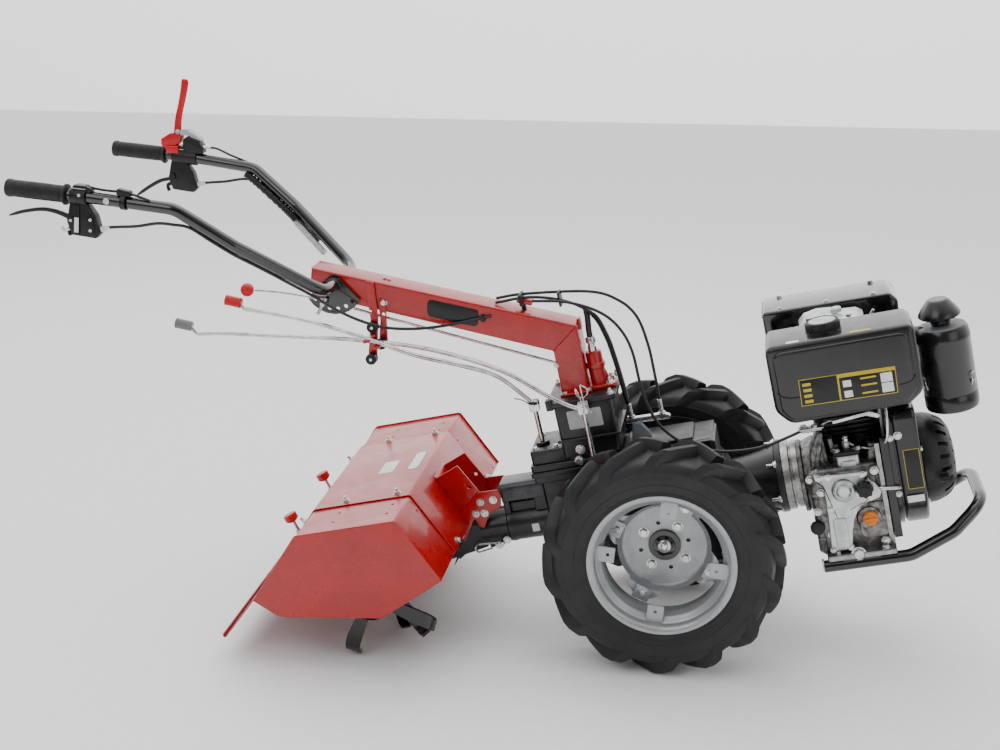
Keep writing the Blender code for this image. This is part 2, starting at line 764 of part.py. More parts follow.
def tiller_hitch():
    """The red channel on the hood's front that is bolted round the gearcase's neck."""
    top = PTO_TUBE_Z + PTO_TUBE_RADIUS + SEAT
    front = PTO_TUBE_END - SEAT
    outline = [
        (-0.5475, 0.2095), (-0.486, 0.232), (-0.440, 0.152), (front, 0.150), (front, top),
        (-0.4885, top - 0.0005),
    ]
    face = offset_outline([HOOD_FRONT_TOP, HOOD_FRONT_LOW], -SEAT)
    slope = (face[1][0] - face[0][0]) / (face[1][1] - face[0][1])
    outline[0] = (face[0][0] + slope * (0.205 - face[0][1]), 0.205)
    outline[-1] = (face[0][0] + slope * (top - face[0][1]), top)
    made = plate("tiller_hitch", outline, (-0.050, 0.050), red_paint())
    return smooth(made)


def hood_sheet(outer):
    inner = offset_outline(outer, HOOD_SHEET)
    return outer + list(reversed(inner))


def hood_profile(depth):
    """The bent sheet's outer line, from the rear edge over the top to the front edge."""
    line = [HOOD_REAR_LOW, HOOD_REAR_TOP, HOOD_FRONT_TOP, HOOD_FRONT_LOW]
    return offset_outline(line, depth)


def flap_axis():
    along = (Vector(HOOD_REAR_LOW) - Vector(HOOD_REAR_TOP)).normalized()
    return Vector(HOOD_REAR_LOW) + along * HINGE_OFFSET


def hood_centre():
    half = HOOD_CENTRE_WIDTH / 2
    pieces = [plate("sheet", hood_sheet(hood_profile(0.0)), (-half, half), red_paint())]
    axis = flap_axis()
    back = (Vector(HOOD_REAR_TOP) - Vector(HOOD_REAR_LOW)).normalized()
    side = Vector((back.y, -back.x))
    for y in HINGE_PLACES:
        ends = (y - HINGE_LENGTH / 2, y + HINGE_LENGTH / 2)
        pieces.append(cylinder("knuckle", (axis.x, ends[0], axis.y), (axis.x, ends[1], axis.y),
                               HINGE_RADIUS, red_paint(), sides=16))
        reach = axis + back * (HINGE_OFFSET + 0.010)
        web = [axis - side * 0.0010, reach - side * 0.0010, reach + side * 0.0018, axis + side * 0.0018]
        pieces.append(plate("web", [tuple(point) for point in web], ends, red_paint()))
    return fuse("hood_centre", pieces)


def hood_wing(side, name):
    """One side extension: a bent sheet that slides under the middle one, closed by an end plate."""
    inner = HOOD_CENTRE_WIDTH / 2 - HOOD_LAP
    outer = HOOD_WIDTH / 2
    line = hood_profile(HOOD_SHEET + SEAT)
    ends = sorted((side * inner, side * outer))
    panel = line + [HOOD_BOTTOM_FRONT, HOOD_BOTTOM_REAR]
    plate_ends = sorted((side * (outer - HOOD_SHEET), side * outer))
    return fuse(name, [
        plate("sheet", hood_sheet(line), ends, red_paint()),
        plate("end_plate", panel, plate_ends, red_paint()),
    ])


def rear_flap():
    """The levelling flap behind the tines, on the hood's rear hinge."""
    axis = flap_axis()
    slope = math.radians(FLAP_SLOPE)
    down = Vector((-math.cos(slope), -math.sin(slope)))
    side = Vector((down.y, -down.x))
    half = HOOD_WIDTH / 2 - 0.004
    start, end = axis + down * HINGE_OFFSET, axis + down * (HINGE_OFFSET + FLAP_LENGTH)
    t = FLAP_SHEET / 2
    sheet = [start - side * t, end - side * t, end + side * t, start + side * t]
    lip = end + down * 0.002
    pieces = [
        plate("sheet", [tuple(point) for point in sheet], (-half, half), red_paint()),
        cylinder("edge_roll", (lip.x, -half, lip.y), (lip.x, half, lip.y), 0.007, red_paint(), sides=12),
    ]
    gaps = [-half] + [y + s * (HINGE_LENGTH / 2 + RUNNING) for y in HINGE_PLACES for s in (-1, 1)] + [half]
    for low, high in zip(gaps[::2], gaps[1::2]):
        low, high = max(low, -HOOD_CENTRE_WIDTH / 2), min(high, HOOD_CENTRE_WIDTH / 2)
        pieces.append(cylinder("knuckle", (axis.x, low, axis.y), (axis.x, high, axis.y), HINGE_RADIUS,
                               red_paint(), sides=16))
        web = [axis - side * 0.0014, start + down * 0.004 - side * 0.0014,
               start + down * 0.004 + side * 0.0014, axis + side * 0.0014]
        pieces.append(plate("web", [tuple(point) for point in web], (low, high), red_paint()))
    return fuse("rear_flap", pieces)


def flap_adjuster(side, name):
    """A threaded rod with a knob on the hood's rear slope."""
    along = Vector(HOOD_REAR_TOP) - Vector(HOOD_REAR_LOW)
    foot = Vector(HOOD_REAR_LOW) + along * 0.42
    out = Vector((-along.y, along.x)).normalized()
    low = foot + out * 0.0032
    high = low + out * 0.030 + Vector((0.012, 0.012))
    inside = high - (high - low).normalized() * 0.003
    top = high + (high - low).normalized() * 0.017
    y = side * ADJUSTER_Y
    return fuse(name, [
        cylinder("rod", (low.x, y, low.y), (high.x, y, high.y), ADJUSTER_ROD_RADIUS, zinc_steel(),
                 sides=16),
        cylinder("knob", (inside.x, y, inside.y), (top.x, y, top.y), ADJUSTER_KNOB_RADIUS, zinc_steel(),
                 sides=20),
    ])


def rotor(side, name):
    """Half of the tine rotor: a tube, three flanges and four L-shaped tines on each of them."""
    step = math.radians(360 / (TINES_PER_FLANGE * len(FLANGE_PLACES)))
    centre = Vector((ROTOR_X, 0, ROTOR_Z))
    inner = GEARCASE_HUB_HALF + RUNNING
    pieces = [cylinder("tube", centre + Vector((0, side * inner, 0)),
                       centre + Vector((0, side * ROTOR_END, 0)), ROTOR_TUBE_RADIUS, tine_steel(),
                       sides=16)]
    top = math.sqrt(TINE_RADIUS ** 2 - (TINE_WIDTH / 2) ** 2)
    for number, y in enumerate(FLANGE_PLACES):
        pieces.append(cylinder("flange", centre + Vector((0, side * (y - 0.003), 0)),
                               centre + Vector((0, side * (y + 0.003), 0)), ROTOR_FLANGE_RADIUS,
                               tine_steel(), sides=20))
        for i in range(TINES_PER_FLANGE):
            angle = -math.pi / 2 + step * (number + 0.5 + i * len(FLANGE_PLACES)) - parked_pitch()
            bend = 1 if i % 2 else -1
            for piece in tine(bend):
                piece.rotation_euler = (0, -angle, 0)
                out = Vector((math.cos(angle), 0, math.sin(angle))) * piece.location.x
                across = side * (y + bend * 0.005) + piece.location.y
                piece.location = centre + out + Vector((0, across, 0))
                pieces.append(piece)
    return fuse(name, pieces)


def tine(bend):
    """One tine along +X: a flat shank, and a foot bent to one side at the tip."""
    top = math.sqrt(TINE_RADIUS ** 2 - (TINE_WIDTH / 2) ** 2)
    half, thin = TINE_WIDTH / 2, TINE_THICKNESS / 2
    foot = sorted((-bend * (thin - 0.001), bend * TINE_FOOT))
    return [
        box("shank", (ROTOR_TUBE_RADIUS + 0.004, top - 0.001), (-thin, thin),
            (0.001 - half, half - 0.001), tine_steel()),
        box("foot", (top - TINE_THICKNESS, top), foot, (-half, half), tine_steel()),
    ]


# Boom, column and control rods

def handle_boom():
    """The mitred box beam, from its post on the column up to the handlebar's pivot."""
    post_low = COLUMN_TOP + SEAT
    outline = [
        (POST_X[1], post_low), (POST_X[1] + 0.002, BOOM_FRONT_TOP), BOOM_REAR_TOP, BOOM_REAR_TIP,
        BOOM_REAR_LOW, (POST_X[0] + 0.001, BOOM_ELBOW_LOW), (POST_X[0], post_low),
    ]
    made = plate("handle_boom", outline, (-BOOM_HALF, BOOM_HALF), red_paint())
    hole = cylinder("pivot_hole", (PIVOT_X, -0.1, PIVOT_Z), (PIVOT_X, 0.1, PIVOT_Z),
                    BAR_RADIUS + RUNNING, red_paint(), sides=32)
    return cut(smooth(made), hole)


def guide_column():
    """The round tube on the front of the post that leads the cables down, with its coupler."""
    x = POST_X[1] + 0.002 + SEAT + GUIDE_TUBE_RADIUS
    low = COLUMN_TOP + SEAT
    return fuse("guide_column", [
        cylinder("tube", (x, 0, low), (x, 0, GUIDE_TUBE_TOP), GUIDE_TUBE_RADIUS, red_paint()),
        box("foot", (x - 0.019, COLUMN_X[1] + 0.010), (-0.030, 0.030), (low, low + 0.012), red_paint(),
            0.003),
        cylinder("coupler", (x, 0, GUIDE_TUBE_TOP - 0.001), (x, 0, COUPLER_TOP), COUPLER_RADIUS,
                 red_paint()),
    ])


def shift_rod(name, shaft_x, shaft_y, shaft_low, route, grip):
    """A gear lever: upright shaft with a clevis, a long bent rod and its hand grip."""
    top = route[0][2]
    pieces = [
        tube("rod", rounded(route, 0.05, 3), ROD_RADIUS, zinc_steel(), 2),
        cylinder("shaft", (shaft_x, shaft_y, shaft_low), (shaft_x, shaft_y, top), SHAFT_RADIUS,
                 zinc_steel(), sides=16),
        cylinder("clevis", (shaft_x, shaft_y, top - 0.014), (shaft_x, shaft_y, top + 0.012), 0.012,
                 zinc_steel(), sides=16),
        cylinder("grip", route[-1], grip, 0.013, zinc_steel(), sides=16),
    ]
    return fuse(name, pieces)


def front_shift_rod():
    """Main gear lever, beside the column; it turns on a boss on the gearbox's right side."""
    x, y = SHIFT_SHAFT_X, SHIFT_SHAFT_Y
    route = [(x, y, 0.343), (-0.300, -0.086, 0.455), (-0.515, -0.062, 0.551), (-0.848, -0.062, 0.637),
             (-1.014, -0.062, 0.674), (-1.046, -0.062, 0.702)]
    return shift_rod("front_shift_rod", x, y, SHIFT_BOSS_TOP + SEAT, route, (-1.080, -0.062, 0.712))


def rear_shift_rod():
    x, y = -0.262, -0.020
    route = [(x, y, 0.344), (-0.330, -0.050, 0.440), (-0.500, -0.100, 0.538), (-0.613, -0.100, 0.603),
             (-0.848, -0.100, 0.711), (-0.888, -0.100, 0.735)]
    return shift_rod("rear_shift_rod", x, y, PTO_Z[1] + SEAT, route, (-0.922, -0.100, 0.738))


def lock_rod():
    """The thin rod under the boom, between the rod bracket and the post."""
    start = (POST_X[0] - 0.0014, -0.020, 0.437)
    end = (-0.600, -0.020, 0.6360)
    made = tube("lock_rod", [start, end], THIN_ROD_RADIUS, zinc_steel(), 2)
    return smooth(baked(made))


def rod_bracket():
    """The strap that hangs from the boom's side and steadies both shift rods."""
    y = -BOOM_HALF - SEAT
    outline = [(-0.585, 0.712), (-0.560, 0.700), (-0.588, 0.600), (-0.600, 0.575), (-0.620, 0.575),
               (-0.612, 0.610)]
    return smooth(plate("rod_bracket", outline, (y - 0.004, y), red_paint()))


# Handlebar

def grip_direction():
    return (Vector(GRIP_END) - Vector(GRIP_START)).normalized()


def handlebar():
    """The U-shaped bar, its middle in the boom's hole, and the perforated height quadrant."""
    bend = Vector(GRIP_START) - grip_direction() * 0.060
    half = [
        (PIVOT_X, BAR_HALF_LOW, PIVOT_Z),
        (-0.808, BAR_HALF_MID, 0.893),
        (-0.906, BAR_HALF_TOP, 1.007),
        (bend.x, GRIP_HALF, bend.y),
        (GRIP_END[0], GRIP_HALF, GRIP_END[1]),
    ]
    path = [(x, -y, z) for x, y, z in reversed(half)] + half
    bar = tube("bar", rounded(path, 0.055, 3), BAR_RADIUS, black_paint(), 4)
    y = -BOOM_HALF - 0.0065
    outline = [(-0.690, 0.736), (-0.650, 0.736), (-0.626, 0.668), (-0.640, 0.656), (-0.700, 0.658),
               (-0.738, 0.690), (-0.733, 0.704)]
    quadrant = plate("quadrant", outline, (y - 0.004, y), black_paint())
    return fuse("handlebar", [bar, quadrant])


def grip(side, name):
    """A rubber sleeve round the bar's end, closed at its tip."""
    start = Vector((GRIP_START[0], side * GRIP_HALF, GRIP_START[1]))
    end = Vector((GRIP_END[0], side * GRIP_HALF, GRIP_END[1]))
    along = (end - start).normalized()
    bore = BAR_RADIUS + SEAT
    length = (end - start).length
    profile = [
        (0.0, length + 0.006), (GRIP_RADIUS - 0.004, length + 0.006), (GRIP_RADIUS, length + 0.002),
        (GRIP_RADIUS, 0.006), (GRIP_RADIUS + 0.005, 0.006), (GRIP_RADIUS + 0.005, 0.0), (bore, 0.0),
        (bore, length + SEAT), (0.0, length + SEAT),
    ]
    made = turned(name, profile, grip_rubber(), start, along, 28)
    return smooth(baked(made))


def clamp_place(side):
    """The lowest line of the bar at a lever's clamp, and the two directions along and below the bar."""
    along = grip_direction()
    below = Vector((along.y, -along.x))
    if below.y > 0:
        below = -below
    middle = Vector(GRIP_START) - along * CLAMP_PLACES[side]
    return middle + below * (BAR_RADIUS + SEAT), along, below


def clutch_lever(side, name):
    """The clamp in front of a grip and the steering lever that hangs below it."""
    low, along, below = clamp_place(side)
    body = [(-0.017, 0.0), (0.018, 0.0), (0.027, 0.046), (0.013, 0.073), (-0.042, 0.0754),
            (-0.053, 0.063), (-0.041, 0.0255)]
    outline = [tuple(low + along * a + below * b) for a, b in body]
    y = side * GRIP_HALF
    knee = low + below * 0.040
    route = [knee, knee + along * 0.040, *[low + Vector(place) for place in LEVER_ROUTES[side]]]
    points = [(point.x, y, point.y) for point in route]
    return fuse(name, [
        plate("bracket", outline, (y - 0.012, y + 0.012), black_paint()),
        tube("lever", rounded(points, 0.04, 3), 0.006, black_paint(), 2),
    ])


def dead_man_lever():
    """The red stop lever that stands above the left grip."""
    y = GRIP_HALF
    direction = grip_direction()
    up = Vector((-direction.y, direction.x))
    if up.y < 0:
        up = -up
    foot = Vector(GRIP_START) - direction * 0.012 + up * (BAR_RADIUS + SEAT)
    outline = [foot + direction * 0.006, foot - direction * 0.012, (-1.084, 1.118), (-1.076, 1.140),
               (-1.048, 1.200), (-1.026, 1.262), (-1.036, 1.270), (-1.062, 1.205), (-1.092, 1.150),
               (-1.106, 1.138), (-1.134, 1.130)]
    outline = [tuple(point) for point in outline]
    return smooth(plate("dead_man_lever", outline, (y - 0.008, y + 0.008), red_paint()))


# Cables

def clutch_arm():
    """The lever on the gearbox's top that the clutch cables pull."""
    z = GEARBOX_Z[1] + SEAT
    return fuse("clutch_arm", [
        box("stand", (-0.052, 0.000), (-0.012, 0.012), (z, 0.262), zinc_steel(), 0.002),
        box("arm", (-0.045, 0.050), (-0.008, 0.008), (CLUTCH_ARM_TOP - 0.014, CLUTCH_ARM_TOP), zinc_steel(),
            0.002),
    ])


def cable(name, route, radius=CABLE_RADIUS):
    made = tube(name, smooth_route(route), radius, material("cable_rubber", (0.014, 0.014, 0.015), 0.55), 2)
    return smooth(baked(made))


def front_cable():
    return cable("front_cable", [
        (-0.300, 0.010, 0.612), (-0.230, 0.010, 0.610), (-0.080, 0.010, 0.588), (-0.015, 0.010, 0.555),
        (0.021, 0.006, 0.509), (0.034, 0.003, 0.441), (0.036, 0.0, 0.367),
        (0.034, 0.0, CLUTCH_ARM_TOP + 2 * SEAT),
    ])


def column_cable():
    return cable("column_cable", [
        (-0.300, -0.010, 0.606), (-0.215, -0.010, 0.604), (-0.133, -0.008, 0.578),
        (-0.078, -0.006, 0.535), (-0.058, -0.004, 0.480), (-0.050, 0.0, 0.421), (-0.044, 0.0, 0.347),
        (-0.040, 0.0, CLUTCH_ARM_TOP + 2 * SEAT),
    ])


def bar_cable(side, name):
    """The steering cable from a lever's bracket, along the lower side of the bar's arm."""
    low, along, below = clamp_place(side)
    exit = low + along * -0.0505 + below * 0.055
    route = [(exit.x + 2 * SEAT, GRIP_HALF, exit.y), (exit.x + 0.030, GRIP_HALF, exit.y - 0.003),
             (-0.998, 0.287, 0.989), (-0.945, 0.282, 0.980), (-0.914, 0.278, 0.966),
             (-0.888, 0.2615, 0.948), (-0.827, 0.2355, 0.876), (-0.759, 0.184, 0.797)]
    return cable(name, [(x, side * y, z) for x, y, z in route])


def boom_cable():
    """The lead of the right steering lever, which hangs in a bow from the bar to the boom's side."""
    y = -(BOOM_HALF + CABLE_RADIUS + 2 * SEAT)
    return cable("boom_cable", [
        (-0.758, -0.178, 0.788), (-0.746, -0.152, 0.744), (-0.716, -0.118, 0.692), (-0.672, -0.096, 0.648),
        (-0.625, -0.088, 0.612), (-0.560, -0.080, 0.592), (-0.480, -0.070, 0.582), (-0.420, -0.054, 0.580),
        (-0.370, y, 0.581), (-0.320, y, 0.578),
    ])


def throttle_cable():
    """The speed control lead, from below the boom over the gearbox to the engine's cylinder."""
    return cable("throttle_cable", [
        (-0.060, -0.030, 0.545), (-0.020, -0.034, 0.515), (0.000, -0.040, 0.440), (0.006, -0.050, 0.340),
        (0.030, -0.066, 0.260), (0.085, -0.080, 0.222), (0.206, -0.086, 0.176), (0.265, -0.084, 0.175),
        (0.318, -0.060, 0.186), (0.344, -0.034, 0.198), (0.362, -0.030, 0.199),
        (CYLINDER_X[0] - 2 * SEAT, -0.030, 0.199),
    ])


def parked_pitch():
    """The nose-up angle at which the wheels and the two lowest rows of tines share one floor."""
    half_step = math.radians(180 / (TINES_PER_FLANGE * len(FLANGE_PLACES)))
    corner = math.asin(TINE_WIDTH / 2 / TINE_RADIUS)
    rotor_height = TINE_RADIUS * math.cos(half_step - corner)
    reach = math.hypot(ROTOR_X, ROTOR_Z)
    return math.atan2(ROTOR_Z, -ROTOR_X) + math.asin((TYRE_RADIUS - rotor_height) / reach)


def centre_on_floor(level):
    """Moves the level frame so that the machine's box is centred on the origin, with its base at 0."""
    bpy.context.view_layer.update()
    xs = [
        (obj.matrix_world @ vertex.co).x
        for obj in TRACTOR.objects if obj.type == "MESH"
        for vertex in obj.data.vertices
    ]
    level.location.x -= (min(xs) + max(xs)) / 2


def main():
    for obj in list(bpy.data.objects):
        bpy.data.objects.remove(obj)
    for collection in (TRACTOR, CUTTERS):
        bpy.context.scene.collection.children.link(collection)

    level = bpy.data.objects.new("level_frame", None)
    TRACTOR.objects.link(level)
    level.location = (0, 0, TYRE_RADIUS)
    level.rotation_euler = (0, -parked_pitch(), 0)

    cover, filler = side_cover()
    chassis = [
        gearbox_housing(), bell_housing(), gear_column(), pto_housing(), pto_coupling(),
        engine_adapter(), crankcase(), cover, smooth(filler), cylinder_block(), cylinder_head(),
        injection_pump(), fan_shroud(), recoil_starter(), fuel_tank(), fuel_cap(), muffler(),
        air_cleaner(), front_bumper(), tiller_gearcase(), tiller_hitch(), hood_centre(),
        hood_wing(-1, "hood_wing_right"), hood_wing(1, "hood_wing_left"),
        flap_adjuster(-1, "flap_adjuster_right"), flap_adjuster(1, "flap_adjuster_left"),
        handle_boom(), guide_column(), front_shift_rod(), rear_shift_rod(), lock_rod(),
        rod_bracket(), clutch_arm(), front_cable(), column_cable(), boom_cable(), throttle_cable(),
    ]
    hang_on(level, chassis + list(CUTTERS.objects))

    for side, word in ((-1, "right"), (1, "left")):
        axle = pivot("wheel_" + word + "_axle", (0, 0, 0), level)
        hang_on(axle, [tyre(side, "tyre_" + word), rim(side, "rim_" + word), hub(side, "hub_" + word)])

    place = (ROTOR_X, 0, ROTOR_Z)
    hang_on(pivot("rotor_axle", place, level),
            [rotor(-1, "tine_rotor_right"), rotor(1, "tine_rotor_left")], place)
    axis = flap_axis()
    place = (axis.x, 0, axis.y)
    hang_on(pivot("flap_hinge", place, level), [rear_flap()], place)
    place = (PIVOT_X, 0, PIVOT_Z)
    hang_on(pivot("handlebar_pivot", place, level), [
        handlebar(), grip(-1, "grip_right"), grip(1, "grip_left"),
        clutch_lever(-1, "clutch_lever_right"), clutch_lever(1, "clutch_lever_left"), dead_man_lever(),
        bar_cable(-1, "bar_cable_right"), bar_cable(1, "bar_cable_left"),
    ], place)
    centre_on_floor(level)


if __name__ == "__main__":
    main()
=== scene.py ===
"""Looks of the walking tractor: every visible shell, casting, tyre, fastener and cable, with its finish.

Pieces are drawn in the machine's own level frame, whose origin is the middle of the wheel axle, with
+X to the front, +Y to the left and +Z up. `parked` turns that frame into the parked, nose-up one, so
that each finished mesh holds its real place. Lengths are in metres.
"""

import json
import math

import bpy
import numpy as np
from bpy.props import FloatProperty, FloatVectorProperty, IntProperty, PointerProperty
from bpy.types import Operator, Panel, PropertyGroup
from mathutils import Matrix


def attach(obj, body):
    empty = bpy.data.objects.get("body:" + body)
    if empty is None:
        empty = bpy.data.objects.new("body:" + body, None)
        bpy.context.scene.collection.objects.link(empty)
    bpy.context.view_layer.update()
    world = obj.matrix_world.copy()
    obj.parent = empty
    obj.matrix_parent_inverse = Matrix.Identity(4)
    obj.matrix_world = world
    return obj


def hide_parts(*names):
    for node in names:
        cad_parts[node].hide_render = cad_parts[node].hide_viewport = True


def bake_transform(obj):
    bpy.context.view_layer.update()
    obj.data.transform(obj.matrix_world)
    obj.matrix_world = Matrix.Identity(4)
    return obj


bl_info = {
    "name": "Walking Tractor Looks",
    "version": (1, 0, 0),
    "blender": (4, 5, 0),
    "location": "View3D > Sidebar > Tractor",
    "description": "Builds the visible pieces and finishes of a walking tractor on its packed frame",
    "category": "Object",
}

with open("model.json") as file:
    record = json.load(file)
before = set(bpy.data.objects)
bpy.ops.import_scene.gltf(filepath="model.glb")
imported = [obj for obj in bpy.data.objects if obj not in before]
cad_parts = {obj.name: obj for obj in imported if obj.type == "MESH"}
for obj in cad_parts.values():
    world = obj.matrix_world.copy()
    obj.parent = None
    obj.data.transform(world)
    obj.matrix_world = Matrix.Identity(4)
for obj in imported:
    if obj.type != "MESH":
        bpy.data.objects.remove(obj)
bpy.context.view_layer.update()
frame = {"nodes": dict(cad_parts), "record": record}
TAU = 2 * math.pi
RIGHT, LEFT = -1, 1
SIDES = ((RIGHT, "right"), (LEFT, "left"))
SMOOTH_ANGLE = 38.0


# The level frame ------------------------------------------------------------------------------------

def joint_place(name):
    """Place of a joint in the parked frame."""
    found = [joint for joint in frame["record"]["behaviour"]["joints"] if joint["name"] == name]
    return np.array(found[0]["pos_m"], float)


def level_frame():
    """Axle middle and the three unit axes of the level frame; its up is away from the engine's base."""
    axle = joint_place("wheel_right_spin")
    axle[1] = 0.0
    base = [mount for mount in frame["record"]["mounts"] if mount["name"] == "crankcase_base"][0]
    up = -np.array(base["axis"], float)
    up /= np.linalg.norm(up)
    left = np.array([0.0, 1.0, 0.0])
    return axle, np.stack([np.cross(left, up), left, up])


AXLE, AXES = level_frame()


def parked(points):
    """Level coordinates to parked ones: p = axle + x * fore + y * left + z * up."""
    return AXLE + np.asarray(points, float) @ AXES


def level(point):
    """Parked coordinates of one point back to level ones."""
    return (np.asarray(point, float) - AXLE) @ AXES.T


# Surfaces -------------------------------------------------------------------------------------------
# A surface is (points, faces): an (n, 3) array and a list of index arrays with equal-sided faces.

def grid(points, close_u=False, close_v=False, cap_start=False, cap_end=False):
    """Quads between neighbouring points of an (m, n, 3) array; close_v joins the last column to the
    first, and a cap fills the first or the last row with one polygon."""
    m, n = points.shape[:2]
    index = np.arange(m * n).reshape(m, n)
    u = index if not close_u else np.vstack([index, index[:1]])
    v = u if not close_v else np.hstack([u, u[:, :1]])
    quads = np.stack([v[:-1, :-1], v[:-1, 1:], v[1:, 1:], v[1:, :-1]], axis=-1).reshape(-1, 4)
    faces = [quads]
    if cap_start:
        faces.append(index[0][::-1][None, :])
    if cap_end:
        faces.append(index[-1][None, :])
    return points.reshape(-1, 3), faces


def moved(surface, matrix=np.eye(3), place=(0, 0, 0)):
    """Surface with every point multiplied by a 3 x 3 matrix of column axes, then shifted."""
    points, faces = surface
    matrix = np.asarray(matrix, float)
    if np.linalg.det(matrix) < 0:
        faces = [block[:, ::-1] for block in faces]
    return points @ matrix.T + np.asarray(place, float), faces


def mirrored(surface):
    """The same surface on the other side of the machine: y to -y."""
    return moved(surface, np.diag([1.0, -1.0, 1.0]))


def spin(angle, axis):
    """Turn by an angle about the axis of that number, the two other axes in their cyclic order."""
    c, s = math.cos(angle), math.sin(angle)
    first, second = (axis + 1) % 3, (axis + 2) % 3
    turn = np.eye(3)
    turn[first, first] = turn[second, second] = c
    turn[first, second], turn[second, first] = -s, s
    return turn


def axes_for(direction):
    """Column axes of a right-handed frame whose third axis is the direction."""
    w = np.asarray(direction, float) / np.linalg.norm(direction)
    helper = np.eye(3)[np.argmin(np.abs(w))]
    u = np.cross(helper, w)
    u /= np.linalg.norm(u)
    return np.stack([u, np.cross(w, u), w], axis=1)


def turned(profile, place=(0, 0, 0), direction=(0, 0, 1), steps=48, closed=False):
    """Profile of (radius, height) carried round an axis: (r cos a, r sin a, h). Pole points are kept a
    hundredth of a millimetre off the axis and closed by a small polygon."""
    profile = np.asarray(profile, float)
    angle = np.arange(steps) * TAU / steps
    radius = np.maximum(profile[:, 0], 1e-5)[:, None]
    points = np.stack([radius * np.cos(angle), radius * np.sin(angle), np.repeat(profile[:, 1:2], steps, 1)],
        axis=-1)
    made = grid(points, close_u=closed, close_v=True, cap_start=not closed, cap_end=not closed)
    return moved(made, axes_for(direction), place)


def rounded_corners(outline, radius, steps=5):
    """Closed outline with each corner replaced by the parabola (1-t)^2 a + 2 t (1-t) c + t^2 b. It starts
    r / tan(half the corner's angle) from the corner, held to under half of the shorter side."""
    outline = np.asarray(outline, float)
    radii = np.broadcast_to(radius, len(outline)).astype(float)
    back = np.roll(outline, 1, 0) - outline
    on = np.roll(outline, -1, 0) - outline
    len_back, len_on = np.linalg.norm(back, axis=1), np.linalg.norm(on, axis=1)
    back, on = back / len_back[:, None], on / len_on[:, None]
    half = np.arccos(np.clip((back * on).sum(1), -1, 1)) / 2
    reach = np.minimum(radii / np.tan(half), 0.49 * np.minimum(len_back, len_on))
    t = np.linspace(0, 1, steps)[None, :, None]
    a, b = outline + back * reach[:, None], outline + on * reach[:, None]
    bow = (1 - t) ** 2 * a[:, None] + 2 * t * (1 - t) * outline[:, None] + t ** 2 * b[:, None]
    return bow.reshape(-1, outline.shape[1])


def inset(outline, depth):
    """Outline moved inwards by the depth along the mean normal of its two sides."""
    on = np.roll(outline, -1, 0) - outline
    on /= np.maximum(np.linalg.norm(on, axis=1), 1e-9)[:, None]
    back = np.roll(on, 1, 0)
    area = (outline[:, 0] * np.roll(outline[:, 1], -1) - np.roll(outline[:, 0], -1) * outline[:, 1]).sum()
    turn = np.sign(area)
    normal = np.stack([-(on + back)[:, 1], (on + back)[:, 0]], 1) * turn
    length = np.linalg.norm(normal, axis=1)[:, None]
    return outline + normal / np.maximum(length, 1e-9) * depth * np.minimum(2 / np.maximum(length, 1), 1.6)


def slab(outline, low, high, edge=0.0015, corner=0.0, plane="xz", rounds=3):
    """Closed outline given thickness from low to high, with its two rims rounded: at the angle a the
    ring is inset by edge (1 - sin a) and raised by edge (1 - cos a)."""
    outline = np.asarray(outline, float)
    if corner:
        outline = rounded_corners(outline, corner)
    a = np.linspace(0, math.pi / 2, rounds + 1)
    depths = edge * (1 - np.sin(a))
    heights = edge * (1 - np.cos(a))
    rings = [(inset(outline, d), low + h) for d, h in zip(depths, heights)]
    rings += [(inset(outline, d), high - h) for d, h in zip(depths[::-1], heights[::-1])]
    points = np.stack([np.column_stack([ring, np.full(len(ring), z)]) for ring, z in rings])
    area = (outline[:, 0] * np.roll(outline[:, 1], -1) - np.roll(outline[:, 0], -1) * outline[:, 1]).sum()
    if area < 0:
        points = points[:, ::-1]
    made = grid(points, close_v=True, cap_start=True, cap_end=True)
    turns = {"xy": np.eye(3), "xz": np.array([[1, 0, 0], [0, 0, 1], [0, 1, 0]], float), "yz":
        np.array([[0, 0, 1], [1, 0, 0], [0, 1, 0]], float)}
    return moved(made, turns[plane])


def block(x, y, z, corner=0.004, edge=0.002, plane="xy"):
    """Box between two limits on each axis, with rounded corners in one plane and rounded rims."""
    limits = {"xy": (x, y, z), "xz": (x, z, y), "yz": (y, z, x)}[plane]
    (a0, a1), (b0, b1), (low, high) = limits
    return slab([(a0, b0), (a1, b0), (a1, b1), (a0, b1)], low, high, edge, corner, plane)


def spline(points, per_span=6):
    """Uniform Catmull-Rom curve through the points: on each span
    p = ((2 b) + (c - a) t + (2 a - 5 b + 4 c - d) t^2 + (3 b - a - 3 c + d) t^3) / 2."""
    p = np.asarray(points, float)
    p = np.vstack([2 * p[0] - p[1], p, 2 * p[-1] - p[-2]])
    a, b, c, d = p[:-3, None], p[1:-2, None], p[2:-1, None], p[3:, None]
    t = (np.arange(per_span) / per_span)[None, :, None]
    curve = (2 * b + (c - a) * t + (2 * a - 5 * b + 4 * c - d) * t ** 2 + (3 * b - a - 3 * c + d) * t **
        3) / 2
    return np.vstack([curve.reshape(-1, 3), p[-2]])


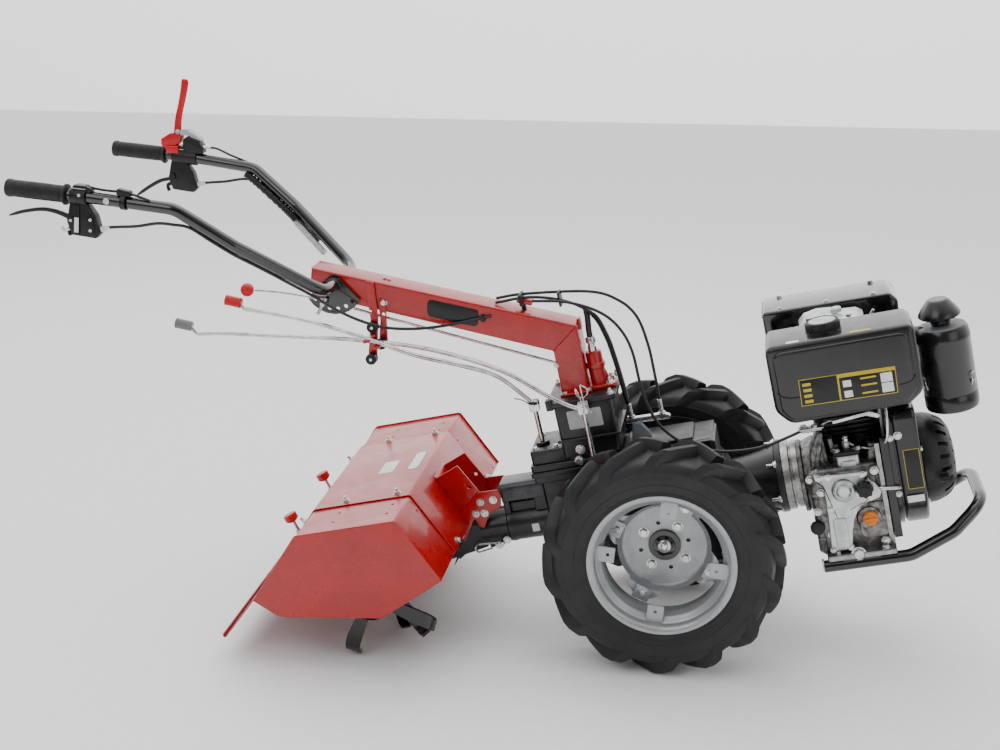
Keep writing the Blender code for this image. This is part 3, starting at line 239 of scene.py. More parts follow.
def bent(points, radius, steps=6):
    """Open path of straight runs with each inner corner replaced by a smooth bend of that radius."""
    p = np.asarray(points, float)
    back, on = p[:-2] - p[1:-1], p[2:] - p[1:-1]
    lb, lo = np.linalg.norm(back, axis=1), np.linalg.norm(on, axis=1)
    back, on = back / lb[:, None], on / lo[:, None]
    half = np.arccos(np.clip((back * on).sum(1), -1, 1)) / 2
    reach = np.minimum(radius / np.tan(half), 0.48 * np.minimum(lb, lo))[:, None, None]
    t = np.linspace(0, 1, steps)[None, :, None]
    corner = p[1:-1][:, None]
    a, b = corner + back[:, None] * reach, corner + on[:, None] * reach
    bow = (1 - t) ** 2 * a + 2 * t * (1 - t) * corner + t ** 2 * b
    return np.vstack([p[:1], bow.reshape(-1, 3), p[-1:]])


def swept(path, radius, sides=12):
    """Round section carried along a path: p + r (n cos a + b sin a), where n and b are square to the
    path and built from the axis that it runs along least. The ends are closed by flat caps."""
    path = np.asarray(path, float)
    radius = np.broadcast_to(radius, len(path)).astype(float)
    tangent = np.gradient(path, axis=0)
    tangent /= np.linalg.norm(tangent, axis=1)[:, None]
    helper = np.eye(3)[np.argmin(np.abs(tangent).max(0))]
    normal = np.cross(tangent, helper)
    normal /= np.linalg.norm(normal, axis=1)[:, None]
    binormal = np.cross(tangent, normal)
    a = np.arange(sides) * TAU / sides
    ring = normal[:, None] * np.cos(a)[None, :, None] + binormal[:, None] * np.sin(a)[None, :, None]
    skin = path[:, None] + ring * radius[:, None, None]
    return grid(skin, close_v=True, cap_start=True, cap_end=True)


def curved(points, per_span, radius, sides=12):
    """Round section along the smooth curve through the points."""
    return swept(spline(points, per_span), radius, sides)


def strip(path, width, thickness, side):
    """Flat bar along a path: a rectangle whose width lies along the side vector."""
    path = np.asarray(path, float)
    tangent = np.gradient(path, axis=0)
    tangent /= np.linalg.norm(tangent, axis=1)[:, None]
    side = np.asarray(side, float) / np.linalg.norm(side)
    width = np.broadcast_to(width, len(path)).astype(float)[:, None] / 2
    normal = np.cross(tangent, side)
    normal /= np.linalg.norm(normal, axis=1)[:, None]
    half = thickness / 2
    corners = [(1, 1), (1, -1), (-1, -1), (-1, 1)]
    ring = np.stack([path + side * width * i + normal * half * j for i, j in corners], axis=1)
    return grid(ring, close_v=True, cap_start=True, cap_end=True)


def ball(place, radius, steps=20):
    """Sphere as a turned half circle: (r sin a, r cos a)."""
    a = np.linspace(0, math.pi, steps // 2 + 1)
    return turned(np.stack([radius * np.sin(a), radius * np.cos(a)], 1)[::-1], place, steps=steps)


# Fasteners ------------------------------------------------------------------------------------------

def bolt(place, direction, size=0.008, washer=True, stud=0.0):
    """Hex head of width 1.7 sizes and height 0.65 sizes with a chamfer, on a round washer, and an
    optional stud end beyond it."""
    across = 0.98 * size
    lift = 0.0012 if washer else 0.0
    hexagon = turned([(across, -0.002), (across, lift + 0.5 * size), (0.86 * across, lift + 0.65 * size)],
        place, direction, 6)
    parts = [hexagon]
    if washer:
        parts.append(turned([(1.25 * size, -0.001), (1.25 * size, lift), (0, lift)], place, direction, 16))
    if stud:
        parts.append(turned([(size / 2, 0), (size / 2, stud - 0.001), (0.4 * size, stud)], place, direction,
            12))
    return parts


def bolts(places, direction, size=0.008, washer=True, stud=0.0):
    """The same screw at several places."""
    return [part for place in places for part in bolt(place, direction, size, washer, stud)]


def on_circle(radius, start, count, middle=(0.0, 0.0)):
    """Points (x, z) on a circle round a middle, from a start angle in degrees."""
    a = np.radians(start) + np.arange(count) * TAU / count
    return np.stack([middle[0] + radius * np.cos(a), middle[1] + radius * np.sin(a)], 1)


# Pieces ---------------------------------------------------------------------------------------------

def shape(name, surfaces, finish, smooth=SMOOTH_ANGLE):
    """One joined mesh from level-frame surfaces, in its parked place, with smooth shading that breaks
    at edges sharper than the given angle. A surface whose signed volume, the sum of a . (b x c) / 6
    over its faces' triangles, is negative is turned outward first."""
    points, blocks, offset = [], [], 0
    for part in surfaces:
        places, faces = part[0], part[1]
        volume = 0.0
        for block_faces in faces:
            for i in range(1, block_faces.shape[1] - 1):
                a, b, c = (places[block_faces[:, k]] for k in (0, i, i + 1))
                volume += (a * np.cross(b, c)).sum()
        points.append(places)
        blocks += [(block_faces if volume >= 0 else block_faces[:, ::-1]) + offset for block_faces in faces]
        offset += len(places)
    data = bpy.data.meshes.new(name)
    totals = np.concatenate([np.full(len(faces), faces.shape[1]) for faces in blocks])
    corners = np.concatenate([faces.ravel() for faces in blocks])
    data.vertices.add(offset)
    data.vertices.foreach_set("co", parked(np.vstack(points)).astype(np.float32).ravel())
    data.loops.add(len(corners))
    data.loops.foreach_set("vertex_index", corners.astype(np.int32))
    data.polygons.add(len(totals))
    data.polygons.foreach_set("loop_start", (np.cumsum(totals) - totals).astype(np.int32))
    data.update(calc_edges=True)
    data.validate()
    data.polygons.foreach_set("use_smooth", np.ones(len(data.polygons), bool))
    data.set_sharp_from_angle(angle=math.radians(smooth))
    data.materials.append(finish)
    obj = bpy.data.objects.new(name, data)
    bpy.context.scene.collection.objects.link(obj)
    return obj


def piece(name, surfaces, finish, body="chassis", slot="usual", stands_for=(), smooth=SMOOTH_ANGLE):
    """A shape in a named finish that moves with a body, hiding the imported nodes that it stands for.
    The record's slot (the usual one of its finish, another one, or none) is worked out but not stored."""
    obj = shape(name, surfaces, F[finish], smooth)
    if body:
        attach(obj, body)
    if slot == "usual":
        slot = USUAL_SLOT.get(finish)
    if stands_for:
        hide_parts(*stands_for)
    return obj


def refinish(node, finish):
    """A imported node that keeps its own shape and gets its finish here."""
    obj = frame["nodes"][node]
    obj.data.materials.clear()
    obj.data.materials.append(finish)
    return obj


def drilled(obj, cutters):
    """The piece with holes cut by closed level-frame surfaces, one exact Boolean for all of them."""
    finish = obj.data.materials[0]
    tool = shape(obj.name + "_cutter", cutters, finish)
    cut = obj.modifiers.new("holes", "BOOLEAN")
    cut.operation, cut.solver, cut.object = "DIFFERENCE", "EXACT", tool
    graph = bpy.context.evaluated_depsgraph_get()
    made = bpy.data.meshes.new_from_object(obj.evaluated_get(graph))
    if len(made.polygons) < 4:
        raise RuntimeError(f"{obj.name}: its holes removed all of it")
    obj.modifiers.clear()
    obj.data = made
    bpy.data.objects.remove(tool)
    made.polygons.foreach_set("use_smooth", np.ones(len(made.polygons), bool))
    made.set_sharp_from_angle(angle=math.radians(SMOOTH_ANGLE))
    return obj


def rod(start, end, radius, sides=16):
    """Straight round bar between two points."""
    start, end = np.asarray(start, float), np.asarray(end, float)
    length = np.linalg.norm(end - start)
    c = 0.12 * radius
    return turned([(radius - c, 0), (radius, c), (radius, length - c), (radius - c, length)], start, end -
        start, sides)


# Finishes -------------------------------------------------------------------------------------------

def srgb(code):
    """Hex colour to linear: c / 12.92 under 0.04045, else ((c + 0.055) / 1.055) ** 2.4."""
    c = np.array([int(code[i:i + 2], 16) for i in (1, 3, 5)]) / 255
    return (*np.where(c <= 0.04045, c / 12.92, ((c + 0.055) / 1.055) ** 2.4).tolist(), 1.0)


def add_node(tree, kind, values=(), links=(), **settings):
    """Adds a node with its settings, its input constants and the outputs that feed it."""
    made = tree.nodes.new(kind)
    for name, value in settings.items():
        setattr(made, name, value)
    for key, value in dict(values).items():
        made.inputs[key].default_value = value
    for key, source in dict(links).items():
        tree.links.new(source, made.inputs[key])
    return made


def new_finish(name, **values):
    """A material with one Principled BSDF whose constants stand on its own sockets."""
    made = bpy.data.materials.new(name)
    made.use_nodes = True
    tree = made.node_tree
    tree.nodes.clear()
    shader = add_node(tree, "ShaderNodeBsdfPrincipled", {key.replace("_", " "): value for key, value in
        values.items()})
    add_node(tree, "ShaderNodeOutputMaterial", links={"Surface": shader.outputs["BSDF"]})
    place = add_node(tree, "ShaderNodeTexCoord").outputs["Object"]
    return made, tree, shader, place


def cloud(tree, place, size, detail=3.0):
    """Noise whose blobs are about `size` metres across."""
    return add_node(tree, "ShaderNodeTexNoise", {"Scale": 1 / size, "Detail": detail, "Roughness": 0.55},
        {"Vector": place}).outputs["Fac"]


def spread(tree, source, socket, low, high, start=0.35, end=0.65):
    """Sends a pattern to a shader number, between two values."""
    made = add_node(tree, "ShaderNodeMapRange", {"From Min": start, "From Max": end, "To Min": low, "To Max":
        high}, {"Value": source})
    tree.links.new(made.outputs["Result"], socket)


def two_tone(tree, source, socket, dark, light, start=0.3, end=0.7):
    """Sends a pattern to a colour socket, between two colours."""
    ramp = add_node(tree, "ShaderNodeValToRGB", links={"Fac": source})
    ramp.color_ramp.elements[0].position, ramp.color_ramp.elements[0].color = start, srgb(dark)
    ramp.color_ramp.elements[1].position, ramp.color_ramp.elements[1].color = end, srgb(light)
    tree.links.new(ramp.outputs["Color"], socket)


def relief(tree, shader, source, depth, strength=1.0):
    """Bump of that depth in metres."""
    made = add_node(tree, "ShaderNodeBump", {"Strength": strength, "Distance": depth}, {"Height": source})
    tree.links.new(made.outputs["Normal"], shader.inputs["Normal"])


def stove_enamel(name, dark, light, roughness=(0.22, 0.34), coat=0.45):
    """Stoved alkyd enamel on sheet steel, IOR about 1.52. Orange peel is 1 to 3 mm across and a few
    hundredths of a millimetre deep, which softens the edges of what it reflects; handling film adds
    wide, faint changes of gloss."""
    made, tree, shader, place = new_finish(name, IOR=1.52, Coat_Weight=coat, Coat_Roughness=0.07)
    two_tone(tree, cloud(tree, place, 0.09, 4), shader.inputs["Base Color"], dark, light)
    spread(tree, cloud(tree, place, 0.035, 4), shader.inputs["Roughness"], *roughness)
    relief(tree, shader, cloud(tree, place, 0.003, 1), 0.00006, 0.6)
    return made


def painted_casting(name, dark, light, grain=0.0022, depth=0.00035, roughness=(0.34, 0.52)):
    """Sand casting under one coat of paint: sand grit is about 0.3 mm, drawn here at 2 mm so that it
    shows, over the slow waviness of the mould; high spots are rubbed smoother."""
    made, tree, shader, place = new_finish(name, IOR=1.5, Coat_Weight=0.15, Coat_Roughness=0.2)
    grit, wave = cloud(tree, place, grain, 3), cloud(tree, place, 0.022, 3)
    two_tone(tree, wave, shader.inputs["Base Color"], dark, light)
    spread(tree, wave, shader.inputs["Roughness"], *roughness)
    relief(tree, shader, grit, depth)
    return made


def cast_metal(name, dark, light, grain=0.0018, depth=0.0003, roughness=(0.38, 0.6), blotch=0.014):
    """Bare pressure-cast aluminium, left as it came from the die: grey oxide blotches of 10 to 20 mm,
    fine grit, and a broken sheen."""
    made, tree, shader, place = new_finish(name, Metallic=1.0)
    two_tone(tree, cloud(tree, place, blotch, 5), shader.inputs["Base Color"], dark, light, 0.32, 0.66)
    spread(tree, cloud(tree, place, 0.006, 3), shader.inputs["Roughness"], *roughness)
    relief(tree, shader, cloud(tree, place, grain, 2), depth)
    return made


def plated_steel(name="zinc_plated_steel", dark="#9EA1A4", light="#D2D4D2"):
    """Bright zinc on drawn steel: soft cloudy tints 30 mm wide, and the faint waviness of the coat."""
    made, tree, shader, place = new_finish(name, Metallic=1.0)
    two_tone(tree, cloud(tree, place, 0.03, 2), shader.inputs["Base Color"], dark, light)
    spread(tree, cloud(tree, place, 0.015, 2), shader.inputs["Roughness"], 0.2, 0.32)
    relief(tree, shader, cloud(tree, place, 0.003, 1), 0.00003)
    return made


def aluminium_paint(name="silver_wheel_paint"):
    """Aluminium flake lacquer sprayed on pressed steel: flakes about 0.1 mm, drawn at 1 mm, and the
    faint ridges of the rolled rim."""
    made, tree, shader, place = new_finish(name, Metallic=0.55, Coat_Weight=0.2, Coat_Roughness=0.15)
    two_tone(tree, cloud(tree, place, 0.001, 2), shader.inputs["Base Color"], "#8F9396", "#B9BCBE")
    spread(tree, cloud(tree, place, 0.02, 4), shader.inputs["Roughness"], 0.32, 0.46)
    relief(tree, shader, cloud(tree, place, 0.004, 2), 0.00008)
    return made


def moulded(name, dark, light, grain=0.0012, depth=0.00012, roughness=(0.38, 0.5), ior=1.46):
    """Injection moulded plastic with a spark-eroded skin: pits about 0.3 mm, drawn at 1 mm."""
    made, tree, shader, place = new_finish(name, IOR=ior)
    two_tone(tree, cloud(tree, place, 0.05, 3), shader.inputs["Base Color"], dark, light)
    spread(tree, cloud(tree, place, 0.012, 3), shader.inputs["Roughness"], *roughness)
    relief(tree, shader, cloud(tree, place, grain, 2), depth)
    return made


def vulcanised_rubber(name="tyre_rubber"):
    """Tyre compound, IOR 1.52: matt carbon black with a faint bloom of wax and dust in wide random patches,
    mould skin of about 1 mm."""
    made, tree, shader, place = new_finish(name, IOR=1.52)
    wide, fine = cloud(tree, place, 0.06, 5), cloud(tree, place, 0.0016, 3)
    two_tone(tree, wide, shader.inputs["Base Color"], "#0B0B0D", "#15161A")
    spread(tree, wide, shader.inputs["Roughness"], 0.46, 0.66)
    relief(tree, shader, fine, 0.00025)
    return made


def sheath(name="cable_sheath"):
    """Extruded PVC over a steel conduit, with faint rings from the wound wire below it."""
    made, tree, shader, place = new_finish(name, IOR=1.53, Roughness=0.38)
    two_tone(tree, cloud(tree, place, 0.02, 2), shader.inputs["Base Color"], "#070708", "#101113")
    relief(tree, shader, cloud(tree, place, 0.0015, 1), 0.0001)
    return made


def printed_film(name, colour, roughness=0.35):
    """Blank adhesive film, slightly uneven where it lies over the paint."""
    made, tree, shader, place = new_finish(name, IOR=1.47, Roughness=roughness)
    base = np.array([int(colour[i:i + 2], 16) for i in (1, 3, 5)])
    darker = "#" + "".join(f"{int(v * 0.93):02X}" for v in base)
    two_tone(tree, cloud(tree, place, 0.008, 3), shader.inputs["Base Color"], darker, colour)
    relief(tree, shader, cloud(tree, place, 0.012, 1), 0.0001)
    return made


def pale_floor():
    """Seamless studio paper: almost white, with a trace of fibre."""
    made, tree, shader, place = new_finish("studio_paper", IOR=1.45, Roughness=0.9)
    two_tone(tree, cloud(tree, place, 0.03, 4), shader.inputs["Base Color"], "#F6F6F6", "#FBFBFB")
    return made


F = {}
USUAL_SLOT = {
    "red": "red_enamel", "black": "black_enamel", "iron": "black_cast_iron", "sheen": "black_cast_iron",
    "cast": "cast_aluminium", "machined": "cast_aluminium", "bright": "cast_aluminium",
    "zinc": "zinc_plated_steel", "steel": "zinc_plated_steel", "wheel": "silver_wheel_paint",
    "orange": "orange_plastic", "knob": "red_enamel", "tyre": "tyre_rubber", "grip": "grip_rubber",
    "sheath": "cable_rubber", "tine": "black_spring_steel", "rivet": "black_spring_steel",
}


def make_finishes(colours):
    """Fills F with every finish; the two enamel tones follow the maker's red."""
    red = "#" + "".join(f"{round(v * 255):02X}" for v in colours.enamel)
    shade = "#" + "".join(f"{round(v * 255 * 0.90):02X}" for v in colours.enamel)
    F.update({
        "red": stove_enamel("red_enamel", shade, red, (0.24, 0.36), 0.30),
        "black": stove_enamel("black_enamel", "#050506", "#0B0B0C", (0.14, 0.24), 0.7),
        "satin": stove_enamel("satin_black_enamel", "#060607", "#0D0D0F", (0.26, 0.36), 0.3),
        "iron": painted_casting("black_cast_iron", "#050506", "#0D0E10", roughness=(0.28, 0.44)),
        # Clutch cover: black cast iron whose lighter grey base colour is a painted sheen.
        "sheen": painted_casting("painted_sheen_cast_iron", "#26292D", "#3A3F45", 0.003, 0.0002, (0.26, 0.40)),
        "cast": cast_metal("cast_aluminium", "#4C4A49", "#9C9A97"),
        "machined": cast_metal("machined_aluminium", "#8C8B89", "#B2B1AF", 0.0012, 0.0001, (0.26, 0.40)),
        "bright": cast_metal("blasted_aluminium", "#B4B9B8", "#D8DCDB", 0.0010, 0.00012, (0.34, 0.46), 0.03),
        "zinc": plated_steel(),
        "steel": plated_steel("polished_steel", "#B0B0B0", "#E8E8E6"),
        "wheel": aluminium_paint(),
        "plastic": moulded("black_plastic", "#060607", "#0E0F11"),
        "grey": moulded("grey_plastic", "#6C6F73", "#7C8084"),
        "orange": moulded("orange_plastic", "#E2761B", "#F28A2B", roughness=(0.30, 0.42)),
        "knob": moulded("red_plastic", "#B5060F", "#D01822", roughness=(0.25, 0.38)),
        "tyre": vulcanised_rubber(),
        "grip": moulded("grip_rubber", "#090A0B", "#141517", 0.002, 0.0002, (0.55, 0.70), 1.52),
        "sheath": sheath(),
        "tine": stove_enamel("black_spring_steel", "#050506", "#0B0B0D", (0.22, 0.36), 0.3),
        "white": printed_film("white_film", "#EDEDEA"),
        "plate": printed_film("data_plate", "#B9BCC0", 0.45),
        "yellow": printed_film("yellow_film", "#C9B32A"),
        "film": printed_film("black_film", "#08080A"),
        "rivet": plated_steel("blackened_steel", "#131416", "#232528"),
    })


# Wheels ---------------------------------------------------------------------------------------------

TRACK_HALF = abs(joint_place("wheel_right_spin")[1])
RIM = {"flange": 0.17, "bead": 0.153, "well": 0.138, "half": 0.059}
DISC_FACE = 0.1725


def carcass(radius):
    """Tyre body without its lugs: sidewall with moulded rings, shoulder and a crowned tread floor."""
    half = [(0.158, 0.0545), (0.166, 0.056), (0.174, 0.0575), (0.1775, 0.06), (0.181, 0.059), (0.188, 0.0615),
        (0.196, 0.0638), (0.1985, 0.0652), (0.201, 0.064), (0.212, 0.065), (0.224, 0.0648), (0.2265, 0.0655),
        (0.229, 0.064), (0.238, 0.0605), (0.246, 0.055), (radius - 0.03, 0.047), (radius - 0.0265, 0.034),
        (radius - 0.0245, 0.017)]
    half = spline(np.column_stack([half, np.zeros(len(half))]), 3)[:, :2]
    profile = np.vstack([half, half[::-1] * [1, -1], [(0.1565, -0.05), (0.1565, 0.05)]])
    return turned(profile, direction=(0, 1, 0), steps=112, closed=True)


def lug(radius, side, start, sweep=0.4):
    """One tread bar from the middle line out over the shoulder: along s its angle runs from start to
    start + sweep, its crown falls from the full radius to the sidewall, and its section is a tapered
    trapezium of width w(s)."""
    s = np.linspace(0, 1, 16)
    knots = [0, 0.6, 0.8, 0.92, 1.0]
    y = np.interp(s, knots, [-0.006, 0.0465, 0.058, 0.0635, 0.0655])
    top = np.interp(s, knots, [radius, radius - 0.004, radius - 0.016, 0.246, 0.228])
    foot = np.interp(s, knots, [radius - 0.027, radius - 0.033, 0.24, 0.229, 0.218])
    low_y = np.interp(s, knots, [-0.006, 0.044, 0.05, 0.056, 0.06])
    middle = start + sweep * s ** 1.15
    w_top = np.interp(s, [0, 0.3, 1], [0.017, 0.021, 0.03]) / 2
    w_low = w_top + 0.008
    cols = [(low_y, foot, -w_low), (y, top - 0.0025, -w_top - 0.001), (y, top, -w_top + 0.002),
        (y, top, w_top - 0.002), (y, top - 0.0025, w_top + 0.001), (low_y, foot, w_low)]
    ring = []
    for across, r, w in cols:
        a = middle + w / radius
        ring.append(np.stack([r * np.cos(a), side * across, r * np.sin(a)], 1))
    return grid(np.stack(ring, axis=1), close_v=True, cap_start=True, cap_end=True)


def tyre_surfaces(radius, count):
    """Carcass and its chevron lugs, those of one side half a pitch behind the other."""
    made = [carcass(radius)]
    for side in (-1, 1):
        made += [lug(radius, side, i * TAU / count + (0.5 * TAU / count if side > 0 else 0)) for i in
            range(count)]
    return made


def rim_profile():
    """Rolled steel rim: curled flange, bead seat, safety hump and a drop centre, then back again."""
    flange, bead, well, half = RIM["flange"], RIM["bead"], RIM["well"], RIM["half"]
    outer = [(flange - 0.002, half - 0.0045), (flange + 0.0005, half - 0.003), (flange, half - 0.0005),
        (flange - 0.004, half), (bead + 0.008, half - 0.0015), (bead + 0.002, half - 0.005),
        (bead, half - 0.01), (bead - 0.0015, half - 0.02), (bead - 0.006, half - 0.0235),
        (bead - 0.0085, half - 0.028), (well + 0.003, half - 0.03), (well, half - 0.0345)]
    line = np.array(outer + [(r, -y) for r, y in outer[::-1]])
    back = np.array([(r + (0.0028 if i > 2 else -0.001), y * 0.965) for i, (r, y) in enumerate(outer)])
    back = np.vstack([back, back[::-1] * [1, -1]])
    return np.vstack([line, back[::-1]])


def wheel_disc():
    """Dished disc on a polar grid: depth d(r) rises by a smooth step from the flat middle to the
    lobes, whose outer edge r(a) reaches out at the four bolting places."""
    steps, rings = 160, 26
    a = np.arange(steps) * TAU / steps
    lobe = np.clip(np.cos(4 * (a - math.radians(54))), 0, 1) ** 0.8
    edge = 0.1085 + 0.0275 * lobe
    t = np.linspace(0.03, 1, rings)[:, None]
    r = t * edge[None, :]
    step = np.clip((r - 0.0965) / 0.02, 0, 1)
    depth = 0.028 * step ** 2 * (3 - 2 * step) + 0.002 * np.clip((r - 0.04) / 0.01, 0, 1)
    face = np.stack([r * np.cos(a), DISC_FACE - 0.002 + depth, r * np.sin(a)], -1)
    rear = face - [0, 0.0045, 0]
    return grid(np.concatenate([rear, face[::-1]]), close_v=True, cap_start=True, cap_end=True)


def rim_tab(angle, y, reach, root, width, drop):
    """Angle bracket: an outward plate standing in from the barrel, with a leg welded along it."""
    plate_outline = [(reach, -width / 2), (root, -width / 2), (root, width / 2), (reach, width / 2)]
    face = slab(plate_outline, y - 0.0035, y, 0.0008, 0.003, "xz")
    leg = slab([(root - 0.005, -width / 2), (root, -width / 2), (root, width / 2), (root - 0.005, width / 2)],
        y - drop, y - 0.001, 0.0008, 0.001, "xz")
    turn = spin(-math.radians(angle), 1)
    return [moved(face, turn), moved(leg, turn)]


def place_wheel(side, surfaces):
    """Surfaces drawn for the left wheel, whose outer face looks to +Y, set on either side."""
    return [part if side > 0 else mirrored(part) for part in surfaces]


def build_wheel(sizes, side, word):
    """Tyre, rim with its tabs, dished disc, hub, cap nut and bolts of one wheel."""
    body = "wheel_" + word
    centre = [moved(part, place=(0, TRACK_HALF, 0)) for part in tyre_surfaces(sizes.tyre_radius, sizes.lugs)]
    piece("tyre_tread_" + word, place_wheel(side, centre), "tyre", body, stands_for=["tyre_" + word],
        smooth=32)
    barrel = moved(turned(rim_profile(), direction=(0, 1, 0), steps=128, closed=True),
        place=(0, TRACK_HALF, 0))
    outer = [part for k in range(4) for part in rim_tab(72 + 90 * k, 0.2745, 0.108, 0.1535, 0.038, 0.03)]
    inner = [part for k in range(4) for part in rim_tab(54 + 90 * k, 0.2065, 0.104, 0.1385, 0.04, 0.004)]
    shell = piece("rim_barrel_" + word, place_wheel(side, [barrel] + outer + inner), "wheel", body,
        stands_for=["rim_" + word])
    holes = [rod((x, 0.262, z), (x, 0.29, z), 0.0042) for x, z in on_circle(0.124, 72, 4)]
    drilled(shell, place_wheel(side, holes))
    disc = piece("wheel_disc_" + word, place_wheel(side, [wheel_disc()]), "wheel", body)
    holes = [rod((x, 0.15, z), (x, 0.2, z), 0.0052) for x, z in on_circle(0.057, 4, 4)]
    holes.append(slab([(0.112, 0.046), (0.12, 0.05), (0.112, 0.066), (0.104, 0.062)], 0.15, 0.22, 0.001))
    drilled(disc, place_wheel(side, holes))
    y = DISC_FACE
    hub = [turned([(0.0, 0.101), (0.0222, 0.101), (0.0222, 0.115), (0.038, 0.116), (0.038, 0.146),
        (0.077, 0.1465), (0.078, 0.148), (0.078, 0.156), (0.077, y - 0.006), (0.038, y - 0.006),
        (0.038, y + 0.002), (0.037, y + 0.004), (0.026, y + 0.005), (0.024, y + 0.0035), (0.0, y + 0.0035)],
        direction=(0, 1, 0), steps=64)]
    piece("wheel_hub_" + word, place_wheel(side, hub), "black", body, slot="black_cast_iron",
        stands_for=["hub_" + word])
    nut = [turned([(0.0165, y + 0.002), (0.0165, y + 0.01), (0.0145, y + 0.012), (0.0125, y + 0.0125),
        (0.012, y + 0.0095), (0.0095, y + 0.0095), (0.009, y + 0.016), (0.0065, y + 0.0175),
        (0.0055, y + 0.0145), (0.0, y + 0.0145)], direction=(0, 1, 0), steps=32)]
    for x, z in on_circle(0.057, 47, 4):
        nut += bolt((x, y, z), (0, 1, 0), 0.01)
    for x, z in on_circle(0.1175, 54, 4):
        nut += bolt((x, y + 0.0335, z), (0, 1, 0), 0.0085)
    piece("wheel_bolts_" + word, place_wheel(side, nut), "steel", body)


def build_wheels(sizes):
    """Both driven wheels."""
    for side, word in SIDES:
        build_wheel(sizes, side, word)


# Tiller ---------------------------------------------------------------------------------------------

HOOD_LINE = np.array([(-0.942, 0.094), (-0.799, 0.237), (-0.556, 0.237), (-0.482, 0.077)])
HOOD_HALF = 0.3825
HOOD_SPLIT = 0.223


def sheet_outline(line, thickness, radius=0.012, depth=0.0):
    """Closed outline of a bent sheet: the line with round bends, moved in by depth along its normal,
    and the same line moved in by depth + thickness."""
    path = bent(np.column_stack([line, np.zeros(len(line))]), radius)[:, :2]
    tangent = np.gradient(path, axis=0)
    tangent /= np.linalg.norm(tangent, axis=1)[:, None]
    normal = np.stack([tangent[:, 1], -tangent[:, 0]], 1)
    return np.vstack([path + normal * depth, (path + normal * (depth + thickness))[::-1]])


def on_slope(start, end, share, lift=0.0):
    """Point at a share of the way from start to end, lifted square off the slope."""
    start, end = np.asarray(start, float), np.asarray(end, float)
    along = end - start
    normal = np.array([-along[1], along[0]]) / np.linalg.norm(along)
    return start + along * share + normal * lift, normal


def build_hood(sizes):
    """Bent middle sheet with its hinge loops, the two wings, screws, blank stickers and flap rods."""
    rear, front = HOOD_LINE[:2], HOOD_LINE[2:]
    shell = [slab(sheet_outline(HOOD_LINE, 0.003), -HOOD_SPLIT, HOOD_SPLIT, 0.0008)]
    hinge = level(joint_place("rear_flap_lift"))
    for y in (-0.19, 0.0, 0.19):
        shell.append(rod((hinge[0], y - 0.019, hinge[2]), (hinge[0], y + 0.019, hinge[2]), 0.0062))
        web = np.array([(hinge[0], hinge[2] + 0.004), (hinge[0] + 0.016, hinge[2] + 0.02),
            (hinge[0] + 0.019, hinge[2] + 0.017), (hinge[0] + 0.003, hinge[2] + 0.001)])
        shell.append(slab(web, y - 0.019, y + 0.019, 0.0005))
    piece("hood_shell", shell, "red", stands_for=["hood_centre"])
    for side, word in SIDES:
        ends = sorted((side * 0.2, side * (HOOD_HALF - 0.001)))
        low, high = sorted((side * (HOOD_HALF - 0.004), side * HOOD_HALF))
        panel = np.vstack([bent(np.column_stack([HOOD_LINE, np.zeros(4)]), 0.012)[:, :2],
            rounded_corners([(-0.482, 0.077), (-0.645, 0.005), (-0.889, 0.044), (-0.942, 0.094)],
            [0.001, 0.03, 0.05, 0.001])[5:-5]])
        wing = [slab(sheet_outline(HOOD_LINE, 0.003, depth=0.0034), *ends, 0.0006),
            slab(panel, low, high, 0.0019)]
        made = piece("hood_wing_sheet_" + word, wing, "red", stands_for=["hood_wing_" + word])
        cuts = [rod((x, side * y, 0.22), (x, side * y, 0.25), 0.0038) for x, y in
            ((-0.722, 0.32), (-0.722, 0.265), (-0.591, 0.317), (-0.591, 0.261))]
        for share, y in ((0.21, 0.243), (0.95, 0.271), (0.95, 0.324)):
            (x, z), n = on_slope(*front, share)
            cuts.append(rod((x + n[0] * 0.02, side * y, z + n[1] * 0.02), (x - n[0] * 0.02, side * y, z - n[1]
                * 0.02), 0.0035))
        drilled(made, cuts)
    screws = []
    for side in (RIGHT, LEFT):
        screws += bolts([(x, side * 0.212 + 0.01, 0.237) for x in (-0.722, -0.593)], (0, 0, 1), 0.008,
            stud=0.014)
        (x, z), n = on_slope(*rear, 0.78)
        screws += bolts([(x, side * 0.212, z)], (n[0], 0, n[1]), 0.0085, stud=0.016)
        (x, z), n = on_slope(*front, 0.94)
        screws += bolts([(x, side * 0.208 + 0.034, z)], (n[0], 0, n[1]), 0.008, stud=0.01)
    piece("hood_screws", screws, "steel")
    # Two blank stickers on the top sheet: a slot-shaped one with a thin dark rim, and a plain patch
    label = rounded_corners([(-0.612, -0.04), (-0.58, -0.04), (-0.58, 0.086), (-0.612, 0.086)], 0.016)
    piece("hood_label_rim", [slab(label, 0.2368, 0.23725, 0.0001, plane="xy")], "grey")
    piece("hood_label", [slab(inset(label, 0.003), 0.237, 0.23745, 0.0001, plane="xy"),
        block((-0.685, -0.647), (-0.037, 0.045), (0.2368, 0.2373), 0.003, 0.0001)], "white")
    rods, knobs = [], []
    for side in (RIGHT, LEFT):
        (x, z), n = on_slope(*rear, 0.42, 0.003)
        direction = np.array([n[0] * 0.03 + 0.012, 0, n[1] * 0.03 + 0.012])
        low, y = np.array([x, side * 0.14, z]), side * 0.14
        high = low + direction
        unit = direction / np.linalg.norm(direction)
        rods.append(rod(low, high, 0.0042, 12))
        rods += bolt(low, unit, 0.008)
        ridge = [(0.0085, -0.004), (0.015, 0.0), (0.0172, 0.003), (0.0165, 0.01), (0.0172, 0.012),
            (0.016, 0.017), (0.0, 0.018)]
        knobs.append(turned(ridge, high, unit, 14))
    piece("flap_rods", rods, "zinc", stands_for=["flap_adjuster_right", "flap_adjuster_left"])
    piece("flap_knobs", knobs, "knob")


